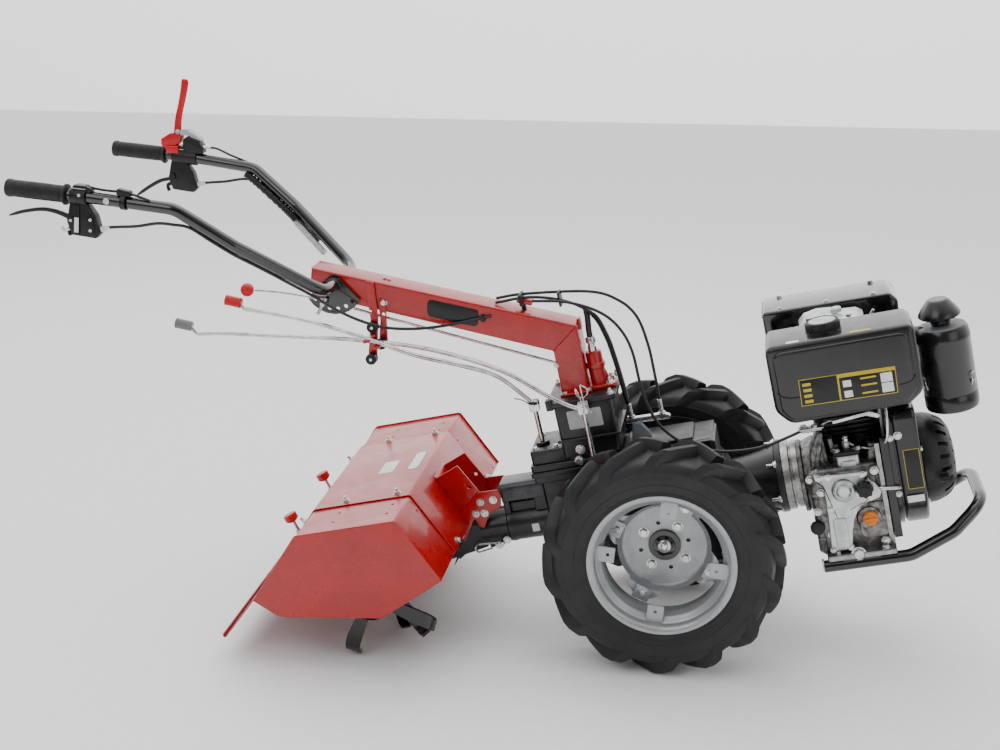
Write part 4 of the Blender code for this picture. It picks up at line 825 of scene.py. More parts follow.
def build_flap(sizes):
    """Levelling flap: a flat sheet rolled at its rear edge, on hinge knuckles."""
    hinge = level(joint_place("rear_flap_lift"))[[0, 2]]
    slope = math.radians(41)
    down = np.array([-math.cos(slope), -math.sin(slope)])
    start, end = hinge + down * 0.012, hinge + down * 0.112
    curl = [end, end + down * 0.006 + [0.001, 0.003], end + down * 0.008 + [0.0, 0.009], end + down * 0.003 +
        [0.001, 0.012]]
    line = np.vstack([[start], curl])
    parts = [slab(sheet_outline(line, 0.003, 0.004, -0.0015), -0.378, 0.378, 0.0008)]
    for low, high in ((-0.223, -0.2105), (-0.1695, -0.0205), (0.0205, 0.1695), (0.2105, 0.223)):
        parts.append(rod((hinge[0], low, hinge[1]), (hinge[0], high, hinge[1]), 0.0062))
        web = [hinge, start + down * 0.003, start + down * 0.003 + [0.001, -0.002], hinge + [0.001, -0.002]]
        parts.append(slab(np.array(web), low, high, 0.0004))
    piece("flap_sheet", parts, "red", "flap", stands_for=["rear_flap"])


def tine(angle, y, side, bend):
    """Curved blade: its middle line leaves the flange radially and turns to the side at the tip; its
    width lies along the direction of turning, and it narrows towards the root."""
    s = np.linspace(0, 1, 22)
    knots = [0, 0.45, 0.68, 0.82, 0.92, 1.0]
    out = np.interp(s, knots, [0.03, 0.112, 0.146, 0.16, 0.1665, 0.1685])
    across = np.interp(s, knots, [0, 0.001, 0.006, 0.015, 0.026, 0.038])
    lag = 0.01 * np.sin(math.pi * s ** 1.3)
    width = np.interp(s, [0, 0.2, 0.5, 0.9, 1.0], [0.026, 0.03, 0.036, 0.034, 0.024])
    radial = np.array([math.cos(angle), 0, math.sin(angle)])
    turning = np.array([-math.sin(angle), 0, math.cos(angle)])
    centre = level(joint_place("tine_rotor_spin"))
    path = (centre + out[:, None] * radial - lag[:, None] * turning + np.array([0, 1, 0]) *
        (side * y + bend * (0.004 + across))[:, None])
    return strip(path, width, 0.0065, turning)


def build_rotor(sizes):
    """Two half rotors: a tube, three flanges and four bolted tines on each, a twelfth of a turn apart."""
    centre = level(joint_place("tine_rotor_spin"))
    pitch = math.atan2(AXES[0][2], AXES[0][0])
    step = TAU / 12
    for side, word in SIDES:
        parts = [rod(centre + [0, side * 0.0705, 0], centre + [0, side * 0.345, 0], 0.026, 32)]
        screws = []
        for number, y in enumerate((0.115, 0.225, 0.33)):
            parts.append(rod(centre + [0, side * (y - 0.003), 0], centre + [0, side * (y + 0.003), 0], 0.06,
                40))
            for i in range(4):
                angle = -math.pi / 2 + step * (number + 0.5 + i * 3) - pitch
                bend = 1 if i % 2 else -1
                parts.append(tine(angle, y, side, bend))
                radial = np.array([math.cos(angle), 0, math.sin(angle)])
                for r in (0.04, 0.052):
                    screws += bolt(centre + radial * r + [0, side * y + bend * 0.007, 0], (0, bend, 0),
                        0.0065)
        piece("tines_" + word, parts, "tine", "tine_rotor", stands_for=["tine_rotor_" + word])
        piece("tine_screws_" + word, screws, "rivet", "tine_rotor")


def build_tiller_drive(sizes):
    """Gearcase behind the hood's front slope, its hitch channel, the latch and the coupling."""
    refinish("tiller_gearcase", F["iron"])
    case = [slab([(-0.47, 0.046), (-0.5, 0.052), (-0.568, -0.056), (-0.529, -0.01), (-0.495, -0.012)], -0.012,
        0.012, 0.002, 0.004), slab([(-0.448, 0.02), (-0.4, 0.03), (-0.398, 0.004), (-0.452, -0.004)], -0.03,
        0.03, 0.003, 0.006)]
    piece("gearcase_skid", case, "iron")
    web = []
    wall = 0.0045
    (fx, fz), _ = on_slope(*HOOD_LINE[2:], 0.2, 0.0005)
    (gx, gz), _ = on_slope(*HOOD_LINE[2:], 0.86, 0.0005)
    side_line = [(fx, fz), (-0.478, 0.23), (-0.438, 0.151), (-0.455, 0.112), (-0.456, 0.0975), (gx, gz)]
    for y in (-0.048, 0.048 - wall):
        web.append(slab(side_line, y, y + wall, 0.0008, 0.003))
    (ax, az), _ = on_slope(*HOOD_LINE[2:], 0.16, 0.0005)
    web.append(slab([(ax, az), (fx, fz), (gx, gz), (gx + 0.004, gz), (fx + 0.005, fz)], -0.047, 0.047,
        0.0008))
    web.append(slab([(-0.53, 0.197), (-0.478, 0.23), (-0.475, 0.2265), (-0.527, 0.193)], -0.048, -0.02,
        0.0008))
    for side in (RIGHT, LEFT):
        y0, y1 = sorted((side * 0.0485, side * 0.0525))
        web.append(slab([(-0.444, 0.155), (-0.394, 0.154), (-0.387, 0.14), (-0.394, 0.108), (-0.42, 0.1),
            (-0.436, 0.08), (-0.447, 0.06), (-0.458, 0.066), (-0.466, 0.092), (-0.505, 0.028), (-0.524, 0.06),
            (-0.489, 0.118), (-0.462, 0.14)], y0, y1, 0.0009, 0.006))
    hitch = piece("hitch_channel", web, "red", stands_for=["tiller_hitch"])
    drilled(hitch, [rod((-0.462, -0.06, 0.17), (-0.462, 0.06, 0.17), 0.0045, 12)])
    screws = []
    for side in (RIGHT, LEFT):
        y = side * 0.0525
        screws += bolts([(-0.442, y, 0.129), (-0.409, y, 0.13), (-0.46, y, 0.101), (-0.438, y, 0.099),
            (-0.511, y, 0.05)], (0, side, 0), 0.0078, stud=0.009)
    piece("hitch_screws", screws, "steel")
    a = np.linspace(-0.5 * math.pi, 0.5 * math.pi, 9)
    loop = [(-0.4, -0.052, 0.014), (-0.43, -0.054, 0.018)]
    loop += [(-0.472 - 0.01 * math.cos(t), -0.054, 0.01 - 0.01 * math.sin(t)) for t in a]
    loop += [(-0.438, -0.054, 0.006)]
    latch = [curved(loop, 4, 0.0022, 8), rod((-0.41, -0.06, 0.014), (-0.41, 0.06, 0.014), 0.0055)]
    latch += bolts([(-0.398, -0.052, 0.02), (-0.42, -0.052, 0.01)], (0, -1, 0), 0.008)
    piece("hitch_latch", latch, "steel")


# Transmission ---------------------------------------------------------------------------------------

def build_gearbox(sizes):
    """Gearbox and power take-off keep their packed castings; the bell housing is drawn anew, with ribs,
    flanges and screws. The clutch cover, black iron with a painted sheen, and its see-through neck are built
    with the coupling."""
    refinish("gearbox_housing", F["iron"])
    refinish("pto_housing", F["iron"])
    ribs = [turned([(0.0, 0.0845), (0.0445, 0.0845), (0.05, 0.09), (0.05, 0.098), (0.024, 0.0985),
        (0.0, 0.0985)], direction=(0, side, 0)) for side in (RIGHT, LEFT)]
    ribs += [block((x, x + 0.01), (-0.0725, 0.0725), (-0.095, 0.19), 0.004, 0.002, "xz") for x in
        (-0.07, 0.09)]
    ribs += [block((-0.115, 0.145), (-0.074, 0.074), (z, z + 0.008), 0.003, 0.002) for z in (0.11, 0.196)]
    ribs.append(block((-0.06, 0.1), (-0.06, 0.06), (0.2045, 0.213), 0.01, 0.003))
    cone = turned([(0.056, 0.1503), (0.064, 0.1503), (0.064, 0.158), (0.058, 0.164), (0.06, 0.2),
        (0.067, 0.245), (0.079, 0.276), (0.087, 0.2785), (0.087, 0.2915), (0.0, 0.2915)], (0, 0, 0.062),
        (1, 0, 0), 64)
    ribs.append(cone)
    ribs += [slab([(0.16, 0.055), (0.278, 0.058), (0.278, 0.086), (0.23, 0.068), (0.16, 0.064)], -0.003,
        0.003, 0.0015, 0.0, "xz")]
    piece("gearbox_ribs", ribs, "iron", stands_for=["bell_housing"])
    screws = []
    for y, z in on_circle(0.081, 20, 6, (0.0, 0.062)):
        screws += bolt((0.2785, y, z), (-1, 0, 0), 0.008, stud=0.022)
    screws += bolts([(x, -0.0745, z) for x in (-0.1, 0.0, 0.125) for z in (0.185, -0.085)], (0, -1, 0), 0.008)
    screws += bolts([(x, 0.0745, z) for x in (-0.1, 0.0, 0.125) for z in (0.185, -0.085)], (0, 1, 0), 0.008)
    piece("gearbox_screws", screws, "steel")


def build_column(sizes):
    """Selector column: a ribbed case under a flange, a stepped rear block and a blank data plate."""
    parts = [block((-0.207, -0.068), (-0.077, 0.077), (0.215, 0.346), 0.01, 0.003),
        block((-0.222, -0.053), (-0.086, 0.086), (0.345, 0.357), 0.012, 0.002),
        block((-0.214, -0.06), (-0.0835, 0.0835), (0.256, 0.2625), 0.008, 0.002),
        block((-0.289, -0.19), (-0.071, 0.071), (0.2065, 0.2415), 0.008, 0.003),
        block((-0.296, -0.15), (-0.079, 0.079), (0.176, 0.189), 0.006, 0.002),
        block((-0.294, -0.14), (-0.077, 0.077), (0.1895, 0.207), 0.008, 0.003),
        rod((-0.262, -0.02, 0.2405), (-0.262, -0.02, 0.25), 0.017, 28),
        block((-0.222, -0.205), (-0.086, -0.06), (0.34, 0.366), 0.003, 0.002)]
    piece("column_case", parts, "iron", stands_for=["gear_column"])
    piece("data_plate", [slab([(-0.178, 0.284), (-0.096, 0.284), (-0.096, 0.33), (-0.178, 0.33)], -0.0778,
        -0.0769, 0.0002, 0.004)], "plate")
    screws = bolts([(-0.212, -0.075, 0.357), (-0.066, -0.075, 0.357), (-0.212, 0.075, 0.357),
        (-0.066, 0.075, 0.357)], (0, 0, 1), 0.0075, stud=0.013)
    screws += bolts([(-0.164, -0.077, 0.232), (-0.172, -0.0765, 0.205)], (0, -1, 0), 0.0095)
    screws += bolts([(x, y, 0.2415) for x in (-0.276, -0.225) for y in (-0.055, 0.055)], (0, 0, 1), 0.007)
    piece("column_screws", screws, "steel")


def build_coupling(sizes):
    """Output tube under its clutch cover, with a slot between them that light passes through."""
    z = 0.045
    tube = turned([(0.0, -0.392), (0.044, -0.392), (0.0465, -0.3895), (0.0465, -0.38), (0.045, -0.377),
        (0.045, -0.3), (0.0465, -0.292), (0.0465, -0.2785), (0.0, -0.2785)], (0, 0, z), (1, 0, 0), 64)
    body = [tube, block((-0.392, -0.3755), (-0.034, 0.034), (0.08, 0.122), 0.003, 0.002),
        block((-0.314, -0.2785), (-0.036, 0.036), (0.08, 0.122), 0.003, 0.002),
        block((-0.388, -0.2785), (-0.024, 0.024), (0.08, 0.1065), 0.003, 0.003)]
    piece("coupling_tube", body, "iron", stands_for=["pto_coupling"])
    section = rounded_corners([(-0.04, 0.1145), (0.04, 0.1145), (0.04, 0.16), (-0.04, 0.16)],
        [0.003, 0.003, 0.019, 0.019], 8)
    cover = [slab(section, -0.3915, -0.2785, 0.002, plane="yz")]
    # Black cast iron cover; its lighter grey finish is a painted sheen, not a different metal.
    piece("clutch_cover", cover, "sheen")
    dials = []
    for x in (-0.369, -0.318):
        for r in (0.0085, 0.004):
            dials.append(turned([(r, 0.0), (r + 0.001, 0.0), (r + 0.001, 0.0006), (r, 0.0006)],
                (x, -0.0399, 0.141), (0, -1, 0), 28, closed=True))
        dials.append(block((x - 0.006, x + 0.006), (-0.0404, -0.0396), (0.126, 0.1275), 0.0005, 0.0001, "xz"))
    piece("dial_marks", dials, "film")
    piece("coupling_tag", [moved(block((-0.33, -0.312), (-0.001, 0.0), (0.0, 0.02), 0.002, 0.0002, "xz"),
        place=(0, -0.0452, 0.03))], "white")


PIVOT = np.array([-0.667, 0.0, 0.73])
BAR_RADIUS = 0.0145


def build_boom(sizes):
    """Mitred box beam: rounded long edges, an open rear mouth, the mitre's weld and its fittings."""
    low = 0.3573
    outline = np.array([(-0.12, low), (-0.116, 0.523), (-0.714, 0.778), (-0.728, 0.74), (-0.679, 0.691),
        (-0.1835, 0.471), (-0.186, low)])
    beam = piece("boom_beam", [slab(outline, -0.0405, 0.0405, 0.0045, rounds=5)], "red",
        stands_for=["handle_boom"])
    mouth = [(-0.76, 0.7905), (-0.585, 0.7165), (-0.612, 0.6675), (-0.68, 0.6985), (-0.79, 0.748)]
    hole = rod(PIVOT - [0, 0.06, 0], PIVOT + [0, 0.06, 0], 0.0165, 32)
    drilled(beam, [slab(mouth, -0.0365, 0.0365, 0.003), hole])
    weld = [swept([(-0.184, y, 0.472), (-0.117, y, 0.522)], 0.0016, 8) for y in (-0.0403, 0.0403)]
    foot = block((-0.19, -0.112), (-0.046, 0.046), (0.3572, 0.3635), 0.004, 0.0015)
    lug_ear = block((-0.119, -0.11), (-0.012, 0.012), (0.505, 0.532), 0.003, 0.001, "xz")
    piece("boom_welds", weld + [foot, lug_ear], "red")
    # Black bush rings where the bar enters the boom: partly real bushes, partly painted shade standing in for
    # the dark inside the pivot hole.
    ring = [turned([(0.015, y0), (0.0215, y0), (0.0215, y1), (0.015, y1)], PIVOT, (0, 1, 0), 32, closed=True)
        for y0, y1 in ((-0.0435, -0.039), (0.039, 0.0435))]
    piece("pivot_bushes_painted_hole_shade", ring, "plastic")
    badge = rounded_corners([(-0.453, 0.652), (-0.336, 0.602), (-0.349, 0.562), (-0.462, 0.611)], 0.012)
    piece("boom_badge", [slab(badge, -0.0424, -0.0404, 0.0008), slab(badge, 0.0404, 0.0424, 0.0008)], "film")
    screws = bolts([(-0.184, -0.0405, 0.436)], (0, -1, 0), 0.005)
    screws += bolts([(-0.56, -0.0415, 0.662)], (0, -1, 0), 0.0075)
    screws += bolts([(-0.178, -0.04, 0.3635), (-0.122, -0.04, 0.3635)], (0, 0, 1), 0.006)
    for x, z in ((-0.5555, 0.711), (-0.545, 0.7065)):
        screws += bolt((x, 0.0, z), (0.392, 0, 0.92), 0.0045)
    piece("boom_screws", screws, "steel")
    clip = [block((-0.3, -0.262), (-0.014, 0.014), (0, 0.012), 0.003, 0.002)]
    c, s = 0.92, -0.392
    clip = [moved(part, [[c, 0, -s], [0, 1, 0], [s, 0, c]], (0.025, 0, 0.48)) for part in clip]
    piece("boom_clip", clip, "red")


def build_guide(sizes):
    """Round guide tube with its bolted foot, and the steel coupler above it."""
    post_front, ear, clearance, radius = -0.119, 0.002, 0.0003, 0.0195
    x = post_front + ear + clearance + radius
    tube = [turned([(radius, 0.3573), (radius, 0.44), (0.018, 0.4455), (0.0135, 0.446), (0.0, 0.446)],
        (x, 0, 0), steps=48), block((x - 0.019, -0.0555), (-0.03, 0.03), (0.3573, 0.3665), 0.008, 0.002),
        turned([(0.0205, 0.405), (0.0225, 0.407), (0.0225, 0.416), (0.0205, 0.418)], (x, 0, 0), steps=40),
        slab([(x + 0.017, 0.366), (-0.068, 0.366), (x + 0.019, 0.4)], -0.003, 0.003, 0.001)]
    piece("guide_tube", tube, "red", stands_for=["guide_column"])
    coupler = [turned([(0.0085, 0.445), (0.011, 0.447), (0.011, 0.458), (0.009, 0.46), (0.009, 0.466),
        (0.0125, 0.468), (0.0125, 0.478), (0.0105, 0.482), (0.0, 0.482)], (x, 0, 0), steps=24)]
    coupler += bolts([(-0.07, -0.02, 0.3665), (-0.07, 0.02, 0.3665)], (0, 0, 1), 0.009, stud=0.014)
    piece("guide_coupler", coupler, "steel")
    piece("guide_sleeve",
        [curved([(x, 0, 0.478), (x + 0.001, 0, 0.5), (x + 0.004, 0.001, 0.528), (x + 0.004, 0.003, 0.552)], 6,
        0.0072, 16)], "sheath")


LEVER_GRIP_RADIUS = 0.0125
ROD_FRONT = [(-0.131, -0.104, 0.343), (-0.152, -0.104, 0.346), (-0.205, -0.098, 0.38), (-0.3, -0.086, 0.455),
    (-0.41, -0.07, 0.51), (-0.515, -0.062, 0.551), (-0.634, -0.062, 0.587), (-0.74, -0.062, 0.613),
    (-0.848, -0.062, 0.637), (-0.96, -0.062, 0.663), (-1.014, -0.062, 0.672), (-1.034, -0.062, 0.676),
    (-1.047, -0.062, 0.698)]
ROD_REAR = [(-0.262, -0.02, 0.344), (-0.28, -0.026, 0.372), (-0.33, -0.052, 0.44), (-0.41, -0.082, 0.492),
    (-0.498, -0.1, 0.536), (-0.613, -0.1, 0.601), (-0.73, -0.1, 0.662), (-0.83, -0.1, 0.703),
    (-0.858, -0.1, 0.713), (-0.882, -0.1, 0.722), (-0.89, -0.1, 0.738)]


def shift_lever(word, route, shaft_low, grip_end, grip_finish, node):
    """Bent rod on its shaft, with a fork and a pin at the front and a ringed grip at the end."""
    route = np.array(route)
    shaft = route[0]
    path = spline(route, 6)
    end = route[-1]
    parts = [swept(path, 0.0052, 14), rod((shaft[0], shaft[1], shaft_low), shaft, 0.006, 18),
        block((shaft[0] - 0.012, shaft[0] + 0.012), (shaft[1] - 0.01, shaft[1] - 0.006),
        (shaft[2] - 0.016, shaft[2] + 0.012), 0.004, 0.001, "xz"), block((shaft[0] - 0.012, shaft[0] + 0.012),
        (shaft[1] + 0.006, shaft[1] + 0.01), (shaft[2] - 0.016, shaft[2] + 0.012), 0.004, 0.001, "xz"),
        rod((shaft[0], shaft[1] - 0.015, shaft[2]), (shaft[0], shaft[1] + 0.015, shaft[2]), 0.0035, 12)]
    piece("lever_rod_" + word, parts, "steel", stands_for=[node])
    axis = np.asarray(grip_end, float) - end
    length = np.linalg.norm(axis)
    r = LEVER_GRIP_RADIUS
    ribs = [(r * 0.8, -0.006), (r, -0.003)]
    for k in range(9):
        h = (k + 0.5) / 9 * length
        ribs += [(r, h - 0.0016), (r - 0.0007, h - 0.0008), (r - 0.0007, h + 0.0006), (r, h + 0.0014)]
    ribs += [(r, length - 0.003), (r * 0.82, length), (0.0, length + 0.0005)]
    piece("lever_grip_" + word, [turned(ribs, end, axis, 28)], grip_finish, slot="grip_rubber")


def build_rods(sizes):
    """Both shift rods, the lock wire with its ball, the straps with rollers, and the clips."""
    shift_lever("front", ROD_FRONT, 0.1565, (-1.08, -0.062, 0.712), "grey", "front_shift_rod")
    shift_lever("rear", ROD_REAR, 0.2505, (-0.922, -0.1, 0.752), "knob", "rear_shift_rod")
    piece("lever_ball", [ball((-0.868, -0.086, 0.763), 0.0165, 28)], "knob")
    stem = spline([(-0.868, -0.086, 0.763), (-0.845, -0.084, 0.757), (-0.8, -0.074, 0.742),
        (-0.74, -0.058, 0.716), (-0.695, -0.05, 0.694)], 8)
    lock = [swept(stem, 0.003, 10), swept([(-0.1854, -0.02, 0.437), (-0.602, -0.02, 0.637)], 0.0034, 12),
        curved([(-0.602, -0.02, 0.637), (-0.626, -0.022, 0.65), (-0.64, -0.03, 0.66)], 5, 0.0034, 12)]
    piece("lock_wire", lock, "steel", stands_for=["lock_rod"])
    straps = [slab([(-0.59, 0.7245), (-0.57, 0.716), (-0.58, 0.63), (-0.61, 0.525), (-0.625, 0.52),
        (-0.63, 0.535), (-0.6, 0.63)], -0.048, -0.044, 0.0008, 0.006),
        slab([(-0.57, 0.675), (-0.552, 0.668), (-0.562, 0.62), (-0.574, 0.56), (-0.592, 0.556),
        (-0.594, 0.57), (-0.578, 0.62)], -0.045, -0.041, 0.0008, 0.005)]
    ears = [block((-0.612, -0.596), (-0.112, -0.0445), (0.588, 0.594), 0.002, 0.001),
        block((-0.592, -0.576), (-0.112, -0.0415), (0.569, 0.575), 0.002, 0.001)]
    strap = piece("rod_straps", straps + ears, "red", stands_for=["rod_bracket"])
    holes = [rod((x, -0.06, z), (x, -0.03, z), 0.0042, 16) for x, z in ((-0.596, 0.648), (-0.602, 0.608),
        (-0.566, 0.635))]
    drilled(strap, holes)
    rollers = [turned([(0.004, -0.009), (0.0135, -0.009), (0.012, -0.004), (0.012, 0.004), (0.0135, 0.009),
        (0.004, 0.009)], place, (0, 1, 0), 28, closed=True) for place in
        ((-0.618, -0.0575, 0.536), (-0.585, -0.055, 0.568), (-0.596, -0.056, 0.612))]
    piece("rod_rollers", rollers, "plastic")
    pins = [rod((x, -0.07, z), (x, -0.043, z), 0.004, 14) for x, z in ((-0.618, 0.536), (-0.585, 0.568),
        (-0.596, 0.612))]
    piece("rod_pins", pins, "steel")
    a = np.linspace(-0.35 * math.pi, 1.35 * math.pi, 14)
    hoop = [(-0.131, -0.116, 0.33), (-0.128, -0.117, 0.35)]
    hoop += [(-0.124 - 0.014 * math.cos(t + 0.5), -0.118, 0.384 - 0.014 * math.sin(t + 0.5)) for t in a]
    hoop += [(-0.122, -0.119, 0.348), (-0.11, -0.119, 0.33)]
    piece("hairpin_clip", [curved(hoop, 3, 0.0016, 8)], "steel")
    tie = [turned([(0.0125, -0.003), (0.0145, -0.003), (0.0145, 0.003), (0.0125, 0.003)],
        (-0.262, -0.02, 0.35), (0.2, 0, 1), 24, closed=True),
        curved([(-0.27, -0.033, 0.35), (-0.282, -0.044, 0.366), (-0.3, -0.05, 0.376)], 5, 0.0014, 6)]
    piece("cable_tie", tie, "plastic")


# Engine ---------------------------------------------------------------------------------------------

def build_crankcase(sizes):
    """Adapter ring, crankcase with its machined flange, foot rails and screws."""
    ring = [turned([(0.0, 0.2918), (0.0815, 0.2918), (0.083, 0.2932), (0.083, 0.3085), (0.0815, 0.31),
        (0.077, 0.3105), (0.0765, 0.316), (0.08, 0.317), (0.08, 0.3285), (0.0785, 0.33), (0.0, 0.33)],
        (0, 0, 0.062), (1, 0, 0), 96)]
    piece("adapter_ring", ring, "machined", stands_for=["engine_adapter"])
    side = [(0.346, -0.09), (0.362, -0.1035), (0.505, -0.1035), (0.519, -0.092), (0.519, 0.096),
        (0.5, 0.1115), (0.372, 0.1115), (0.35, 0.098)]
    case = [slab(side, -0.132, 0.127, 0.01, 0.006, rounds=4),
        turned([(0.0, 0.3303), (0.086, 0.3303), (0.086, 0.338), (0.082, 0.342), (0.092, 0.368), (0.0, 0.38)],
        (0, 0, 0.055), (1, 0, 0), 64), block((0.352, 0.378), (-0.128, -0.04), (-0.08, 0.08), 0.014, 0.006,
        "xz"), turned([(0.0, 0.0), (0.03, 0.0), (0.026, -0.01), (0.0, -0.01)], (0.47, -0.131, -0.018),
        (0, 1, 0), 32), block((0.445, 0.515), (-0.1365, -0.12), (-0.07, 0.018), 0.02, 0.003, "xz"),
        slab([(0.356, 0.085), (0.378, 0.104), (0.4, 0.19), (0.386, 0.196), (0.362, 0.15)], -0.11, -0.056,
        0.005, 0.008), slab([(0.486, 0.104), (0.516, 0.1), (0.516, 0.148), (0.494, 0.152)], -0.11, -0.056,
        0.005, 0.006)]
    for x in (0.392, 0.412):
        case.append(slab([(x, 0.1), (x + 0.01, 0.1), (x + 0.004, 0.168), (x - 0.006, 0.168)], -0.09, -0.054,
            0.002))
    for z in (-0.06, -0.03, 0.048):
        case.append(block((0.35, 0.366), (-0.1345, 0.129), (z, z + 0.006), 0.002, 0.002))
    case += [rod((0.4975, -0.1405, z), (0.4975, -0.12, z), 0.0125, 24) for z in (0.094, -0.08)]
    piece("crankcase_shell", case, "cast", stands_for=["crankcase"])
    flange = [block((0.362, 0.519), (-0.165, 0.165), (-0.104, -0.0915), 0.006, 0.002),
        block((0.506, 0.5175), (-0.1385, -0.118), (-0.092, 0.158), 0.002, 0.0015, "xz")]
    piece("crankcase_flange", flange, "machined")
    screws = bolts([(0.372, -0.1345, 0.057), (0.357, -0.133, 0.011), (0.4975, -0.1405, 0.094),
        (0.4975, -0.1405, -0.08), (0.352, -0.129, 0.09), (0.38, -0.1325, -0.05)], (0, -1, 0), 0.0075)
    screws += bolts([(0.433, -0.16, -0.094)], (0, -1, 0), 0.0135)
    screws += bolts([(x, y, -0.0915) for x in (0.385, 0.495) for y in (-0.15, 0.15)], (0, 0, 1), 0.009)
    screws += [curved([(0.498, -0.138, 0.05), (0.512, -0.141, 0.049), (0.545, -0.1455, 0.047)], 4, 0.0052,
        12)]
    screws += [rod((0.5445, -0.1455, 0.047), (0.55, -0.1455, 0.0468), 0.004, 12)]
    piece("crankcase_screws", screws, "steel")
    plug = [turned([(0.0, 0.0), (0.0165, 0.0), (0.0175, 0.004), (0.016, 0.012), (0.008, 0.014),
        (0.0, 0.0142)], (0.351, -0.13, -0.027), (0, -1, 0), 10)]
    piece("drain_knob", plug, "plastic")


def build_timing_cover(sizes):
    """Blasted cover with a proud rim, a ringed boss and a rib line, the star knob and the filler cap."""
    outline = [(0.37, 0.104), (0.477, 0.099), (0.473, 0.088), (0.488, 0.076), (0.502, 0.052), (0.5, 0.037),
        (0.461, 0.019), (0.446, 0.004), (0.437, -0.012), (0.429, -0.04), (0.422, -0.085), (0.373, -0.085),
        (0.379, 0.022), (0.379, 0.072), (0.37, 0.09)]
    cover = [slab(outline, -0.152, -0.134, 0.004, 0.004, rounds=4),
        slab([(0.363, 0.1065), (0.482, 0.1015), (0.48, 0.092), (0.364, 0.097)], -0.1575, -0.14, 0.0012,
        0.002), turned([(0.0, -0.13), (0.0285, -0.15), (0.0275, -0.158), (0.025, -0.162), (0.0225, -0.163),
        (0.0205, -0.16), (0.0185, -0.16), (0.0165, -0.165), (0.0145, -0.1665), (0.012, -0.164),
        (0.0, -0.164)], (0.424, 0, 0.062), (0, 1, 0), 56)]
    cover += [block((0.388, 0.418), (-0.1548, -0.15), (-0.078, -0.004), 0.006, 0.002, "xz"),
        slab([(0.43, 0.01), (0.462, 0.0225), (0.461, 0.0255), (0.429, 0.013)], -0.1545, -0.149, 0.001)]
    bracket = [(0.476, 0.084), (0.494, 0.072), (0.506, 0.05), (0.5, 0.036), (0.476, 0.028), (0.47, 0.05)]
    cover.append(slab(bracket, -0.158, -0.1515, 0.0015, 0.004))
    piece("timing_cover", cover, "bright", slot="zinc_plated_steel", stands_for=["side_cover"])
    a = np.arange(72) * TAU / 72
    star = 0.018 + 0.0014 * np.cos(8 * a)
    knob = slab(np.stack([0.47 + star * np.cos(a), 0.064 + star * np.sin(a)], 1), -0.18, -0.158, 0.003)
    cap = turned([(0.0, 0.0), (0.01, 0.0), (0.01, 0.002), (0.0, 0.0025)], (0.47, -0.18, 0.064), (0, -1, 0),
        24)
    piece("governor_knob", [knob, cap, rod((0.47, -0.16, 0.064), (0.47, -0.145, 0.064), 0.009)], "plastic")
    ridge = 0.017 + 0.0005 * np.cos(24 * np.arange(144) * TAU / 144)
    b = np.arange(144) * TAU / 144
    filler = [slab(np.stack([0.472 + ridge * np.cos(b), -0.018 + ridge * np.sin(b)], 1), -0.15, -0.1366,
        0.002), block((0.457, 0.487), (-0.1545, -0.149), (-0.0205, -0.0155), 0.002, 0.0015, "xz")]
    piece("oil_cap", filler, "orange", stands_for=["oil_filler_cap"])
    screws = bolts([(0.372, -0.1575, 0.101), (0.394, -0.1575, 0.1), (0.47, -0.1575, 0.096),
        (0.379, -0.152, -0.08), (0.42, -0.152, -0.08), (0.388, -0.152, 0.02)], (0, -1, 0), 0.0062)
    piece("timing_cover_screws", screws, "steel")


